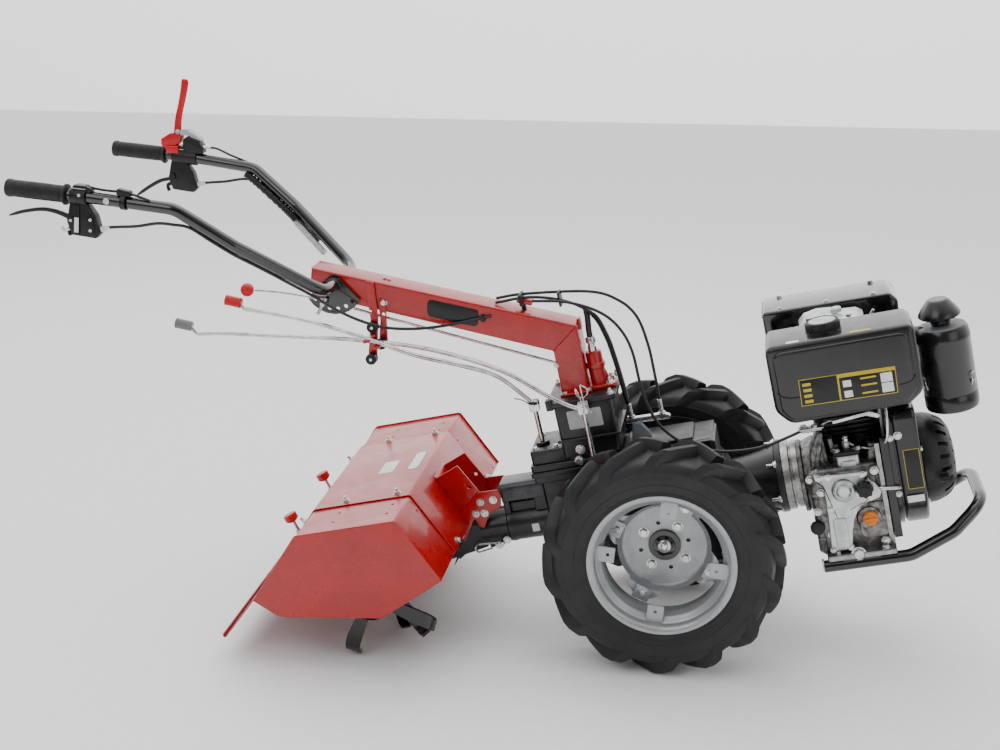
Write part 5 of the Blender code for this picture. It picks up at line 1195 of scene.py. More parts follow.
def build_cylinder(sizes):
    """Finned barrel and head: thin plates round a core, rocker cover, levers and the pump with its pipe."""
    core = [block((0.392, 0.52), (-0.04, 0.075), (0.1125, 0.3), 0.01, 0.004)]
    for k in range(12):
        z = 0.15 + 0.0122 * k
        core.append(block((0.38, 0.53), (-0.0495, 0.0845), (z, z + 0.0036), 0.014, 0.0012))
    piece("cylinder_fins", core, "iron", stands_for=["cylinder_block"])
    head = [block((0.362, 0.548), (-0.04, 0.08), (0.3003, 0.385), 0.012, 0.004)]
    for k in range(6):
        z = 0.306 + 0.0125 * k
        head.append(block((0.352, 0.558), (-0.0455, 0.0845), (z, z + 0.004), 0.012, 0.0012))
    piece("head_fins", head, "cast", stands_for=["cylinder_head"])
    cover = [slab([(0.384, 0.384), (0.534, 0.384), (0.534, 0.418), (0.52, 0.428), (0.48, 0.43),
        (0.462, 0.438), (0.43, 0.44), (0.4, 0.434), (0.386, 0.42)], -0.03, 0.06, 0.007, 0.006, rounds=4),
        block((0.366, 0.4), (-0.036, -0.004), (0.384, 0.419), 0.004, 0.003),
        block((0.52, 0.558), (-0.034, 0.004), (0.38, 0.412), 0.004, 0.003),
        turned([(0.014, 0.436), (0.014, 0.444), (0.011, 0.447), (0.0, 0.447)], (0.474, 0.01, 0), steps=6),
        rod((0.505, -0.01, 0.405), (0.535, -0.01, 0.405), 0.01)]
    cover += [rod((x, -0.034, 0.392), (x, -0.034, 0.4215), 0.0035, 12) for x in (0.372, 0.394, 0.528, 0.55)]
    piece("rocker_cover", cover, "bright")
    levers = [curved([(0.382, -0.022, 0.41), (0.368, -0.026, 0.42), (0.35, -0.03, 0.415),
        (0.335, -0.032, 0.409)], 5, 0.0034, 10),
        curved([(0.538, -0.016, 0.41), (0.546, -0.018, 0.42), (0.556, -0.02, 0.4345)], 5, 0.0032, 10)]
    levers += bolts([(0.382, -0.022, 0.419), (0.538, -0.016, 0.412), (0.41, -0.018, 0.434),
        (0.5, -0.018, 0.428)], (0, 0, 1), 0.007)
    piece("decompression_levers", levers, "steel")
    piece("lever_sleeve", [swept([(0.345, -0.031, 0.4125), (0.322, -0.033, 0.4055)], 0.005, 12)], "plastic")
    pump = [block((0.418, 0.47), (-0.126, -0.058), (0.1015, 0.133), 0.008, 0.004),
        block((0.428, 0.462), (-0.131, -0.12), (0.104, 0.122), 0.006, 0.002, "xz"),
        turned([(0.01, 0.142), (0.01, 0.156), (0.0065, 0.16), (0.0065, 0.17), (0.0, 0.17)],
        (0.446, -0.092, 0), steps=18)]
    piece("pump_body", pump, "bright", stands_for=["injection_pump"])
    collar = [block((0.41, 0.476), (-0.122, -0.066), (0.133, 0.142), 0.01, 0.002)]
    piece("pump_collar", collar, "plastic")
    pipe = [(0.448, -0.092, 0.156), (0.47, -0.1, 0.143), (0.502, -0.116, 0.14), (0.526, -0.136, 0.152),
        (0.537, -0.1465, 0.172), (0.5415, -0.1475, 0.198), (0.544, -0.144, 0.225), (0.544, -0.125, 0.255),
        (0.54, -0.1, 0.28)]
    metal = [curved(pipe, 6, 0.0032, 12), rod((0.446, -0.092, 0.15), (0.4462, -0.093, 0.1665), 0.0078, 14)]
    metal += bolts([(0.421, -0.108, 0.142), (0.468, -0.108, 0.142), (0.421, -0.076, 0.142)], (0, 0, 1), 0.009)
    metal += [slab([(0.424, 0.206), (0.5, 0.214), (0.526, 0.204), (0.534, 0.212), (0.508, 0.224),
        (0.424, 0.214)], -0.104, -0.098, 0.001, 0.003), block((0.346, 0.404), (-0.112, -0.084),
        (0.203, 0.207), 0.004, 0.001), rod((0.352, -0.098, 0.198), (0.398, -0.098, 0.198), 0.005, 12)]
    metal += bolts([(0.358, -0.098, 0.207), (0.382, -0.104, 0.207)], (0, 0, 1), 0.0075)
    metal += [curved([(0.4, -0.098, 0.206), (0.416, -0.099, 0.214), (0.43, -0.1, 0.212)], 4, 0.0024, 8)]
    metal += bolts([(0.56, -0.1435, 0.17)], (0, -1, 0), 0.0075)
    metal += [turned([(0.012, 0.0), (0.0125, 0.012), (0.008, 0.016), (0.0, 0.016)], (0.561, -0.12, 0.238),
        (0, 0, 1), 16)]
    piece("injection_pipe", metal, "steel")


def build_shroud(sizes):
    """Fan housing: flat-sided drum with a round belly, its backplate, the cowl and two blank labels."""
    a = np.linspace(math.pi, TAU, 33)
    r = 0.143
    belly = np.stack([r * np.cos(a), 0.055 + r * np.sin(a)], 1)
    drum = np.vstack([belly, rounded_corners([(r, 0.1), (r, 0.225), (-r, 0.225), (-r, 0.1)],
        [0.0, 0.022, 0.022, 0.0], 6)[6:-6]])
    back = np.vstack([belly, [(r, 0.215), (-r, 0.215)]])
    shell = [slab(drum, 0.552, 0.6055, 0.009, plane="yz", rounds=5), block((0.5192, 0.537), (-0.143, 0.137),
        (-0.076, 0.17), 0.008, 0.0015, "yz"), slab(back * [0.985, 1.0] + [0, -0.001], 0.5363, 0.549, 0.002,
        plane="yz"), slab(drum * [0.95, 0.95] + [0, 0.003], 0.545, 0.556, 0.001, plane="yz"),
        block((0.5365, 0.586), (-0.048, 0.083), (0.215, 0.3), 0.012, 0.005, "xz"),
        slab([(0.5365, 0.22), (0.6, 0.222), (0.586, 0.262), (0.5365, 0.292)], -0.11, -0.05, 0.006, 0.008)]
    piece("fan_housing", shell, "satin", slot="black_plastic", stands_for=["fan_shroud"])
    label = rounded_corners([(0.5655, 0.038), (0.601, 0.038), (0.601, 0.133), (0.5655, 0.133)], 0.002)
    piece("housing_label_rim", [slab(label, -0.1433, -0.14295, 0.0001)], "yellow")
    piece("housing_label", [slab(inset(label, 0.0012), -0.1435, -0.1431, 0.0001)], "film")
    piece("housing_tag", [slab([(0.56, 0.006), (0.597, 0.006), (0.597, 0.022), (0.56, 0.022)], -0.1434,
        -0.14295, 0.0001)], "white")
    screws = [part for y, z in on_circle(0.128, 30, 6, (0.0, 0.055)) for part in
        bolt((0.605, y, z), (1, 0, 0), 0.0065)]
    screws += bolts([(0.543, -0.141, z) for z in (0.165, 0.03)], (0, -1, 0), 0.006)
    piece("housing_screws", screws, "steel")


def build_recoil(sizes):
    """Recoil starter: a domed drum with slots round its rim and face, and the rope's guide."""
    dome = spline([(0.106, 0.618, 0), (0.1045, 0.63, 0), (0.099, 0.646, 0), (0.09, 0.661, 0),
        (0.078, 0.671, 0), (0.06, 0.679, 0), (0.03, 0.683, 0)], 4)[:, :2]
    drum = turned([(0.0, 0.6065), (0.104, 0.6065), (0.106, 0.609), *dome, (0.0, 0.6835)], (0, 0, 0.055),
        (1, 0, 0), 96)
    guide = slab([(-0.02, -0.012), (0.02, -0.012), (0.02, 0.012), (-0.02, 0.012)], 0.0, 0.012, 0.002, 0.006,
        "xy")
    boss = moved(guide, [[1, 0, 0], [0, 0, 1], [0, 1, 0]], (0.64, -0.104, 0.04))
    body = piece("recoil_cover", [drum], "plastic", slot="black_plastic", stands_for=["recoil_starter"])
    slots = []
    for count, ring in ((20, ((0.63, 0.7), (0.08, 0.0985), (-0.0045, 0.0045))),
            (14, ((0.668, 0.7), (0.046, 0.066), (-0.0036, 0.0036)))):
        for k in range(count):
            slots.append(moved(block(*ring, 0.0015, 0.0008), spin(k * TAU / count, 0), (0, 0, 0.055)))
    drilled(body, slots)
    core = [turned([(0.0, 0.61), (0.092, 0.61), (0.09, 0.64), (0.07, 0.662), (0.0, 0.668)], (0, 0, 0.055),
        (1, 0, 0), 48)]
    piece("recoil_reel", core, "rivet", slot=None)
    grip = [curved([(0.64, -0.112, 0.04), (0.651, -0.117, 0.039), (0.662, -0.118, 0.038)], 5, 0.007, 14)]
    piece("starter_handle", grip + [boss], "plastic")


def tank_patch(x, z):
    """Thin blank film on the tank's raised panel."""
    return block(x, (-0.2059, -0.2052), z, 0.001, 0.0001, "xz")


def build_tank(sizes):
    """Pressed steel tank: superellipse-edged block with a raised front panel and a moulded crease."""
    x0, x1, z0, z1 = 0.308, 0.63, 0.252, 0.437
    outline = np.array([(x0 + 0.03, z0), (x1 - 0.034, z0 + 0.004), (x1, z0 + 0.03), (x1, z1 - 0.01),
        (x1 - 0.012, z1), (x0 + 0.01, z1), (x0, z1 - 0.012), (x0, z0 + 0.034)])
    body = [slab(outline, -0.1995, -0.052, 0.012, [0.03, 0.034, 0.03, 0.02, 0.02, 0.02, 0.02, 0.032],
        rounds=6),
        slab(np.array([(x0 + 0.034, z0 + 0.01), (x1 - 0.04, z0 + 0.012), (x1 - 0.014, z0 + 0.036),
        (x1 - 0.014, z1 - 0.014), (x0 + 0.014, z1 - 0.014), (x0 + 0.014, z0 + 0.038)]), -0.205, -0.19, 0.006,
        0.022, rounds=5)]
    body.append(block((0.4, 0.5), (-0.056, -0.0463), (0.322, 0.386), 0.004, 0.002))
    body.append(turned([(0.04, 0.434), (0.0395, 0.4405), (0.03, 0.441), (0.03, 0.434)], (0.44, -0.1285, 0),
        steps=48, closed=True))
    piece("tank_shell", body, "satin", slot="black_enamel", stands_for=["fuel_tank"])
    y = -0.203
    crease = [[(0.3205, y, 0.3295), (0.33, y - 0.0012, 0.3215), (0.345, y - 0.0014, 0.3165),
        (0.366, y - 0.001, 0.315)], [(0.58, y - 0.001, 0.3075), (0.598, y - 0.0014, 0.309),
        (0.61, y - 0.0012, 0.314), (0.6165, y, 0.323)]]
    piece("tank_creases", [curved(line, 6, 0.0024, 8) for line in crease], "satin")
    rim = rounded_corners([(0.367, 0.2935), (0.575, 0.2905), (0.577, 0.3515), (0.463, 0.3535),
        (0.369, 0.3545)], 0.002)
    piece("tank_label_rim", [slab(rim, -0.20545, -0.2048, 0.0001)], "yellow")
    left = rounded_corners([(0.3685, 0.295), (0.45, 0.2938), (0.4515, 0.3525), (0.3705, 0.353)], 0.001)
    right = rounded_corners([(0.454, 0.2938), (0.5735, 0.2922), (0.5752, 0.343), (0.4555, 0.3448)], 0.001)
    piece("tank_label", [slab(left, -0.2057, -0.205, 0.0001), slab(right, -0.2057, -0.205, 0.0001)], "film")
    tags = [tank_patch((0.543, 0.568), (z, z + 0.021)) for z in (0.2965, 0.3195)]
    tags += [tank_patch((0.462, 0.48), (z, z + 0.015)) for z in (0.298, 0.322)]
    tags += [block((0.356, 0.384), (-0.191, -0.176), (0.4368, 0.4373), 0.001, 0.0001)]
    piece("tank_tags", tags, "white")
    marks = [tank_patch((0.376, 0.394), (z, z + 0.007)) for z in (0.299, 0.312, 0.325, 0.338)]
    marks += [tank_patch((0.5, 0.534), (z, z + 0.004)) for z in (0.3, 0.318, 0.334)]
    marks += [block((0.494, 0.54), (-0.189, -0.178), (0.4368, 0.4373), 0.001, 0.0001)]
    piece("tank_marks", marks, "yellow")
    y = -0.1285
    cap = [turned([(0.0, 0.4373), (0.037, 0.4373), (0.0375, 0.44), (0.0375, 0.455), (0.036, 0.459),
        (0.0325, 0.461), (0.0315, 0.4585), (0.0, 0.4585)], (0.44, y, 0), steps=96)]
    knurl = []
    for k in range(36):
        a = k * TAU / 36
        knurl.append(rod((0.44 + 0.037 * math.cos(a), y + 0.037 * math.sin(a), 0.4395),
            (0.44 + 0.037 * math.cos(a), y + 0.037 * math.sin(a), 0.455), 0.0016, 8))
    piece("filler_cap", cap + knurl, "plastic", slot="black_plastic", stands_for=["fuel_cap"])
    disc = turned([(0.0, 0.458), (0.0305, 0.458), (0.03, 0.46), (0.02, 0.4612), (0.0, 0.462)], (0.44, y, 0),
        steps=64)
    piece("cap_disc", [disc], "zinc", slot=None)


def build_muffler(sizes):
    """Muffler in a pressed guard: an outer frame with a sunk panel towards the tank, and screws on top."""
    x0, x1, y0, y1, z0, z1 = 0.302, 0.612, 0.1, 0.245, 0.3, 0.434
    casing = slab([(x0, z0), (x1, z0), (x1 + 0.006, z1 - 0.02), (x1 - 0.01, z1), (x0 + 0.004, z1 + 0.004),
        (x0, z1 - 0.01)], y0 + 0.0005, y1, 0.007, 0.016, rounds=5)
    guard = piece("muffler_guard", [casing, rod((0.45, 0.0855, 0.36), (0.45, 0.115, 0.36), 0.024, 32)],
        "black", stands_for=["muffler"])
    cuts = [slab([(x0 + 0.018, z0 + 0.016), (x1 - 0.018, z0 + 0.016), (x1 - 0.02, z1 - 0.024),
        (x0 + 0.018, z1 - 0.018)], y0 - 0.02, y0 + 0.008, 0.002, 0.01)]
    for k in range(9):
        x = x0 + 0.04 + 0.029 * k
        cuts.append(slab([(x, z0 + 0.024), (x + 0.01, z0 + 0.024), (x + 0.01, z1 - 0.03), (x, z1 - 0.03)], y1
            - 0.005, y1 + 0.02, 0.001, 0.004))
    drilled(guard, cuts)
    seam = [slab([(x0 - 0.001, z1 - 0.008), (x1 - 0.006, z1 - 0.012), (x1 - 0.006, z1 - 0.009),
        (x0 - 0.001, z1 - 0.005)], y0 + 0.004, y1 + 0.0015, 0.001)]
    piece("muffler_seam", seam, "satin")
    outlet = [turned([(0.014, 0.0), (0.0175, 0.0), (0.0175, 0.02), (0.014, 0.02)], (0.362, y1 - 0.012, 0.345),
        (0, 1, 0), 28, closed=True)]
    screws = bolts([(0.345, 0.112, z1 + 0.003), (0.455, 0.112, z1 + 0.0015), (0.565, 0.112, z1 + 0.0005),
        (0.345, 0.23, z1 + 0.003), (0.565, 0.23, z1 + 0.0005)], (0, 0, 1), 0.0068)
    piece("muffler_screws", screws + outlet, "steel")


def build_air_cleaner(sizes):
    """Canister with a rolled rim and clips, the mushroom rain hat on its ribbed neck, and the elbow."""
    x, y = 0.696, -0.025
    can = [turned([(0.0, 0.176), (0.05, 0.176), (0.0575, 0.18), (0.06, 0.188), (0.06, 0.214), (0.0585, 0.216),
        (0.06, 0.218), (0.06, 0.34), (0.061, 0.342), (0.061, 0.352), (0.0595, 0.356), (0.0585, 0.366),
        (0.054, 0.372), (0.0, 0.372)], (x, y, 0), steps=96),
        turned([(0.0225, 0.368), (0.0225, 0.373), (0.0205, 0.3745), (0.0205, 0.379), (0.0225, 0.3805),
        (0.0225, 0.385), (0.0205, 0.3865), (0.0205, 0.396), (0.0, 0.396)], (x, y, 0), steps=48),
        turned([(0.02, 0.393), (0.044, 0.3945), (0.047, 0.3975), (0.0465, 0.402), (0.04, 0.413),
        (0.027, 0.43), (0.0235, 0.433), (0.0, 0.4335)], (x, y, 0), steps=64)]
    rib = slab([(0.024, 0.394), (0.043, 0.396), (0.042, 0.3925), (0.024, 0.388)], -0.0008, 0.0008, 0.0003)
    can += [moved(rib, spin(k * TAU / 16, 2), (x, y, 0)) for k in range(16)]
    elbow = swept(bent([(0.5605, -0.01, 0.356), (0.612, -0.014, 0.356), (0.648, -0.022, 0.356),
        (0.672, -0.025, 0.34)], 0.02), 0.0225, 28)
    can += [elbow, block((0.5605, 0.572), (-0.046, 0.014), (0.325, 0.382), 0.01, 0.002, "yz")]
    for h in (0.584, 0.596, 0.608):
        can.append(turned([(0.0225, -0.003), (0.025, -0.0015), (0.025, 0.0015), (0.0225, 0.003)],
            (h, -0.0125, 0.356), (1, -0.05, 0), 28, closed=True))
    piece("air_canister", can, "satin", slot="black_plastic", stands_for=["air_cleaner"])
    lid = [turned([(0.0, 0.3715), (0.052, 0.3715), (0.05, 0.374), (0.026, 0.375), (0.0, 0.375)], (x, y, 0),
        steps=64), turned([(0.0, 0.433), (0.0225, 0.433), (0.021, 0.4352), (0.0, 0.4357)], (x, y, 0),
        steps=40)]
    piece("air_lid", lid, "grey")
    clips = []
    for a in (-35, 85, 205):
        turn = spin(math.radians(a), 2)
        wire = spline([(0.06, -0.008, 0.236), (0.063, -0.008, 0.25), (0.0625, -0.006, 0.262),
            (0.0625, 0.006, 0.262), (0.063, 0.008, 0.25), (0.06, 0.008, 0.236)], 4)
        clips.append(moved(swept(wire, 0.0011, 8), turn, (x, y, 0)))
        clips.append(moved(block((0.0595, 0.0622), (-0.007, 0.007), (0.242, 0.2465), 0.001, 0.0005), turn,
            (x, y, 0)))
    piece("air_clips", clips, "steel", slot=None)


def build_bumper(sizes):
    """Front bumper: one bent tube, its weld plates and the small bracket at its rear end."""
    base, radius, clearance = -0.104, 0.0145, 0.0003
    z = base - radius - clearance
    leg = [(0.352, 0.15, z), (0.548, 0.15, z), (0.65, 0.135, -0.082), (0.722, 0.1, -0.034)]
    path = np.array([(x, -y, h) for x, y, h in leg] + leg[::-1])
    bar = [swept(bent(path, 0.07, 10), radius, 28)]
    plates = [block((0.395, 0.48), (side * 0.15 - 0.012, side * 0.15 + 0.012), (z + 0.01, -0.1042), 0.003,
        0.001) for side in (RIGHT, LEFT)]
    piece("bumper_tube", bar + plates, "black", stands_for=["front_bumper"])
    tip = [block((0.3475, 0.352), (side * 0.15 - 0.01, side * 0.15 + 0.01), (z - 0.011, -0.1015), 0.002,
        0.001) for side in (RIGHT, LEFT)]
    piece("bumper_brackets", tip, "steel")


# Handlebar ------------------------------------------------------------------------------------------

GRIP_HALF = 0.29
GRIP_START = np.array([-1.138, 1.089])
GRIP_END = np.array([-1.281, 1.135])
GRIP_ALONG = (GRIP_END - GRIP_START) / np.linalg.norm(GRIP_END - GRIP_START)
GRIP_BELOW = np.array([-GRIP_ALONG[1], GRIP_ALONG[0]])
CLAMP_PLACES = {RIGHT: 0.03, LEFT: 0.038}
BAR = "handlebar_frame"


def bar_line():
    """Half of the bar: the straight through the boom, the splayed arm, and the run to the grip's end."""
    bend = GRIP_START - GRIP_ALONG * 0.06
    return [(PIVOT[0], 0.1285, PIVOT[2]), (-0.808, 0.2355, 0.893), (-0.906, 0.2765, 1.007),
        (bend[0], GRIP_HALF, bend[1]), (GRIP_END[0] + 0.011, GRIP_HALF, GRIP_END[1] - 0.0035)]


def build_bar(sizes):
    """One bent tube from grip to grip, the stays' weld nuts and the perforated height quadrant."""
    half = bar_line()
    path = [(x, -y, z) for x, y, z in reversed(half)] + half
    nuts = [rod((-1.046, side * 0.302, 1.0575), (-1.046, side * 0.306, 1.0575), 0.0075, 14) for side in
        (RIGHT, LEFT)]
    tube = [swept(bent(path, 0.06, 12), BAR_RADIUS, 28)]
    tube += [turned([(0.015, -0.002), (0.017, 0.0), (0.017, 0.006), (0.015, 0.008)],
        (PIVOT[0], side * 0.047, PIVOT[2]), (0, side, 0), 32, closed=True) for side in (RIGHT, LEFT)]
    piece("bar_tube", tube, "black", BAR, stands_for=["handlebar"])
    piece("bar_screws", nuts, "steel", BAR, slot=None)
    a = np.radians(np.linspace(196, 318, 9))
    arc = np.stack([PIVOT[0] + 0.074 * np.cos(a), PIVOT[2] + 0.074 * np.sin(a)], 1)
    plate = np.vstack([[(-0.65, 0.742), (-0.69, 0.742)], arc])
    quadrant = piece("bar_quadrant", [slab(plate, -0.0505, -0.0465, 0.0008, 0.004)], "black", BAR)
    b = np.radians(np.linspace(206, 306, 6))
    holes = [turned([(0.0, -0.02), (0.0048, -0.02), (0.0048, 0.02), (0.0, 0.02)],
        (PIVOT[0] + 0.06 * math.cos(t), -0.0485, PIVOT[2] + 0.06 * math.sin(t)), (0, 1, 0), 18) for t in b]
    drilled(quadrant, holes)
    pin = [rod((-0.7, -0.07, 0.69), (-0.7, -0.0455, 0.69), 0.0055, 16),
        rod((-0.722, -0.058, 0.668), (-0.69, -0.058, 0.702), 0.0042, 14)]
    piece("quadrant_pin", pin, "steel", slot=None)


def build_grips(sizes):
    """Ribbed rubber sleeve: a flange, fine rings r = 19 + 0.7 cos(2 pi h / 4.6 mm), and a rolled end."""
    for side, word in SIDES:
        start = np.array([GRIP_START[0], side * GRIP_HALF, GRIP_START[1]])
        along = np.array([GRIP_ALONG[0], 0, GRIP_ALONG[1]])
        length = np.linalg.norm(GRIP_END - GRIP_START) - 0.012
        h = np.linspace(0.012, length - 0.012, 150)
        ribs = np.stack([0.0186 + 0.0006 * np.cos(TAU * h / 0.0046) + 0.0006 * np.sin(math.pi * h / length),
            h], 1)
        profile = [(0.015, 0.0), (0.0235, 0.0), (0.024, 0.0015), (0.024, 0.0045), (0.023, 0.006),
            (0.0188, 0.0085)]
        profile += [tuple(row) for row in ribs]
        profile += [(0.0192, length - 0.009), (0.0205, length - 0.006), (0.0208, length),
            (0.0195, length + 0.0045), (0.015, length + 0.006), (0.0, length + 0.0062)]
        piece("rubber_grip_" + word, [turned(profile, start, along, 40)], "grip", BAR,
            stands_for=["grip_" + word])


def clamp_frame(side):
    """Lowest line of the bar at a lever's clamp, and a map from (along, below, out) to the level frame."""
    middle = GRIP_START - GRIP_ALONG * CLAMP_PLACES[side] + GRIP_BELOW * BAR_RADIUS
    turn = np.array([[GRIP_ALONG[0], GRIP_BELOW[0], 0], [0, 0, side], [GRIP_ALONG[1], GRIP_BELOW[1], 0]])
    return turn, np.array([middle[0], side * GRIP_HALF, middle[1]])


LEVERS = {RIGHT: [(0.012, 0.04), (0.031, 0.034), (0.06, 0.027), (0.092, 0.026), (0.135, 0.036),
    (0.17, 0.049)], LEFT: [(-0.005, 0.045), (0.0115, 0.045), (0.032, 0.05), (0.0547, 0.058), (0.085, 0.078),
    (0.119, 0.105)]}


def build_clamps(sizes):
    """Lever clamps: split sleeve, ribbed bracket, curved lever, adjuster, return cam and blank label."""
    for side, word in SIDES:
        turn, place = clamp_frame(side)
        put = [slab([(-0.02, -0.002), (0.02, -0.002), (0.027, 0.046), (0.014, 0.074), (-0.042, 0.076),
            (-0.053, 0.063), (-0.041, 0.024)], -0.0115, 0.0115, 0.002, 0.004, "xy", 3),
            slab([(-0.004, 0.004), (0.01, 0.004), (0.012, 0.068), (-0.004, 0.072)], 0.011, 0.015, 0.0012,
            0.004, "xy"), slab([(-0.036, 0.028), (-0.024, 0.018), (-0.022, 0.066), (-0.04, 0.068)], 0.011,
            0.014, 0.0012, 0.004, "xy"),
            turned([(0.0148, -0.018), (0.0195, -0.018), (0.0205, -0.016), (0.0205, 0.016), (0.0195, 0.018),
            (0.0148, 0.018)], (0, -BAR_RADIUS, 0), (1, 0, 0), 40, closed=True),
            slab([(-0.017, -0.041), (0.01, -0.041), (0.014, -0.034), (0.014, -0.03), (-0.017, -0.03)], -0.013,
            0.013, 0.001, 0.003, "xy"),
            slab([(-0.032, -0.036), (-0.017, -0.04), (-0.017, -0.024), (-0.03, -0.028)], -0.011, 0.011, 0.001,
            0.003, "xy")]
        line = spline([(a, b, 0.0) for a, b in LEVERS[side]], 6)
        width = np.interp(np.linspace(0, 1, len(line)), [0, 0.25, 0.6, 0.9, 1.0],
            [0.022, 0.017, 0.015, 0.012, 0.006])
        lever = swept(line, width / 2, 16)
        middle = np.repeat(line[:, 1], 16)
        lever[0][:, 1] = 0.62 * (lever[0][:, 1] - middle) + middle
        put.append(lever)
        put.append(turned([(0.0, -0.0155), (0.0085, -0.0155), (0.0085, 0.0155), (0.0, 0.0155)],
            (0.016, 0.04, 0), (0, 0, 1), 24))
        put.append(curved([(0.02, 0.058, -0.004), (0.03, 0.066, -0.006), (0.026, 0.08, -0.006)], 5, 0.0048,
            12))
        piece("lever_clamp_" + word, [moved(part, turn, place) for part in put], "plastic", BAR,
            slot="black_enamel", stands_for=["clutch_lever_" + word])
        nut = [turned([(0.0, 0.0), (0.0068, 0.0), (0.0068, 0.01), (0.005, 0.012), (0.005, 0.022),
            (0.0, 0.022)], (-0.05, 0.0555, 0), (-0.9522, -0.3055, 0), 20)]
        if side == RIGHT:
            nut.append(curved([(0.026, 0.062, -0.002), (0.04, 0.07, -0.004), (0.046, 0.062, -0.004)], 5,
                0.0042, 12))
        piece("cable_adjuster_" + word, [moved(part, turn, place) for part in nut], "white", BAR)
        label = [slab([(-0.003, 0.032), (0.007, 0.032), (0.008, 0.066), (-0.002, 0.066)], 0.0148, 0.0153,
            0.0001, 0.0, "xy")]
        if side == RIGHT:
            piece("clamp_label", [moved(part, turn, place) for part in label], "white", BAR)
        screws = [moved(part, turn, place) for part in
            bolts([(0.016, 0.04, 0.015), (-0.03, 0.034, 0.0138), (-0.006, -0.02, 0.019),
            (-0.03, 0.058, 0.0138)], (0, 0, 1), 0.0042, washer=False)]
        cap = slab([(-0.0185, -0.0345), (0.0155, -0.0345), (0.0155, -0.033), (-0.0185, -0.033)], -0.014,
            0.014, 0.0004, 0.001, "xy")
        piece("clamp_screws_" + word, screws + [moved(cap, turn, place)], "steel", BAR, slot=None)


def build_stop_lever(sizes):
    """Red stop lever on the left: a stepped boss round the bar and a curved blade with a button."""
    y = GRIP_HALF
    foot = [(-1.1335, 1.103), (-1.118, 1.099), (-1.087, 1.111), (-1.079, 1.125), (-1.086, 1.138),
        (-1.108, 1.14), (-1.136, 1.131), (-1.14, 1.116)]
    blade = spline([(-1.098, y, 1.118), (-1.09, y, 1.14), (-1.076, y, 1.175), (-1.054, y, 1.215),
        (-1.038, y, 1.247), (-1.0315, y, 1.264)], 8)
    width = np.interp(np.linspace(0, 1, len(blade)), [0, 0.2, 0.5, 0.92, 1.0],
        [0.026, 0.02, 0.017, 0.02, 0.014])
    arm = swept(blade, width / 2, 20)
    arm[0][:, 1] = y + 0.55 * (arm[0][:, 1] - y)
    boss = [slab(foot, y - 0.013, y + 0.013, 0.003, 0.004),
        slab([(-1.13, 1.094), (-1.096, 1.084), (-1.094, 1.104), (-1.128, 1.112)], y - 0.02, y + 0.02, 0.003,
        0.004)]
    piece("stop_lever", boss + [arm], "knob", BAR, stands_for=["dead_man_lever"])
    sleeve_at = np.array([GRIP_START[0], y, GRIP_START[1]]) - np.array([GRIP_ALONG[0], 0,
        GRIP_ALONG[1]]) * 0.066
    sleeve = turned([(0.015, -0.02), (0.02, -0.02), (0.02, 0.02), (0.015, 0.02)], sleeve_at,
        (GRIP_ALONG[0], 0, GRIP_ALONG[1]), 32, closed=True)
    block_side = [(-1.084, 1.096), (-1.076, 1.118), (-1.062, 1.123), (-1.036, 1.106), (-1.03, 1.086),
        (-1.034, 1.07), (-1.08, 1.082)]
    piece("stop_switch", [sleeve, slab(block_side, y - 0.016, y + 0.016, 0.003, 0.005)], "plastic", BAR)
    cap = [slab([(-1.083, 1.13), (-1.076, 1.144), (-1.06, 1.14), (-1.032, 1.112), (-1.029, 1.102),
        (-1.038, 1.106), (-1.062, 1.124)], y - 0.012, y + 0.012, 0.002, 0.003),
        ball((-1.086, y - 0.01, 1.139), 0.0062)]
    piece("stop_switch_cap", cap, "plate", BAR)


def build_throttle_lever(sizes):
    """Speed lever on the right arm: a flat housing, its little arm and the first run of its lead."""
    turn, place = clamp_frame(RIGHT)
    box = [slab([(-0.09, -0.043), (-0.12, -0.0395), (-0.122, -0.027), (-0.088, -0.028)], -0.009, 0.009, 0.002,
        0.003, "xy"), curved([(-0.02, -0.037, 0), (-0.056, -0.0345, 0), (-0.09, -0.035, 0)], 5, 0.003, 12),
        curved([(-0.119, -0.033, 0), (-0.14, -0.029, 0.001), (-0.164, -0.0235, 0.002)], 5, 0.003, 12),
        turned([(0.0148, -0.006), (0.0178, -0.006), (0.0178, 0.006), (0.0148, 0.006)],
        (-0.105, -BAR_RADIUS + 0.0015, 0), (1, 0, 0), 32, closed=True)]
    piece("speed_lever", [moved(part, turn, place) for part in box], "plastic", BAR)


# Cables ---------------------------------------------------------------------------------------------

CABLE = 0.0036


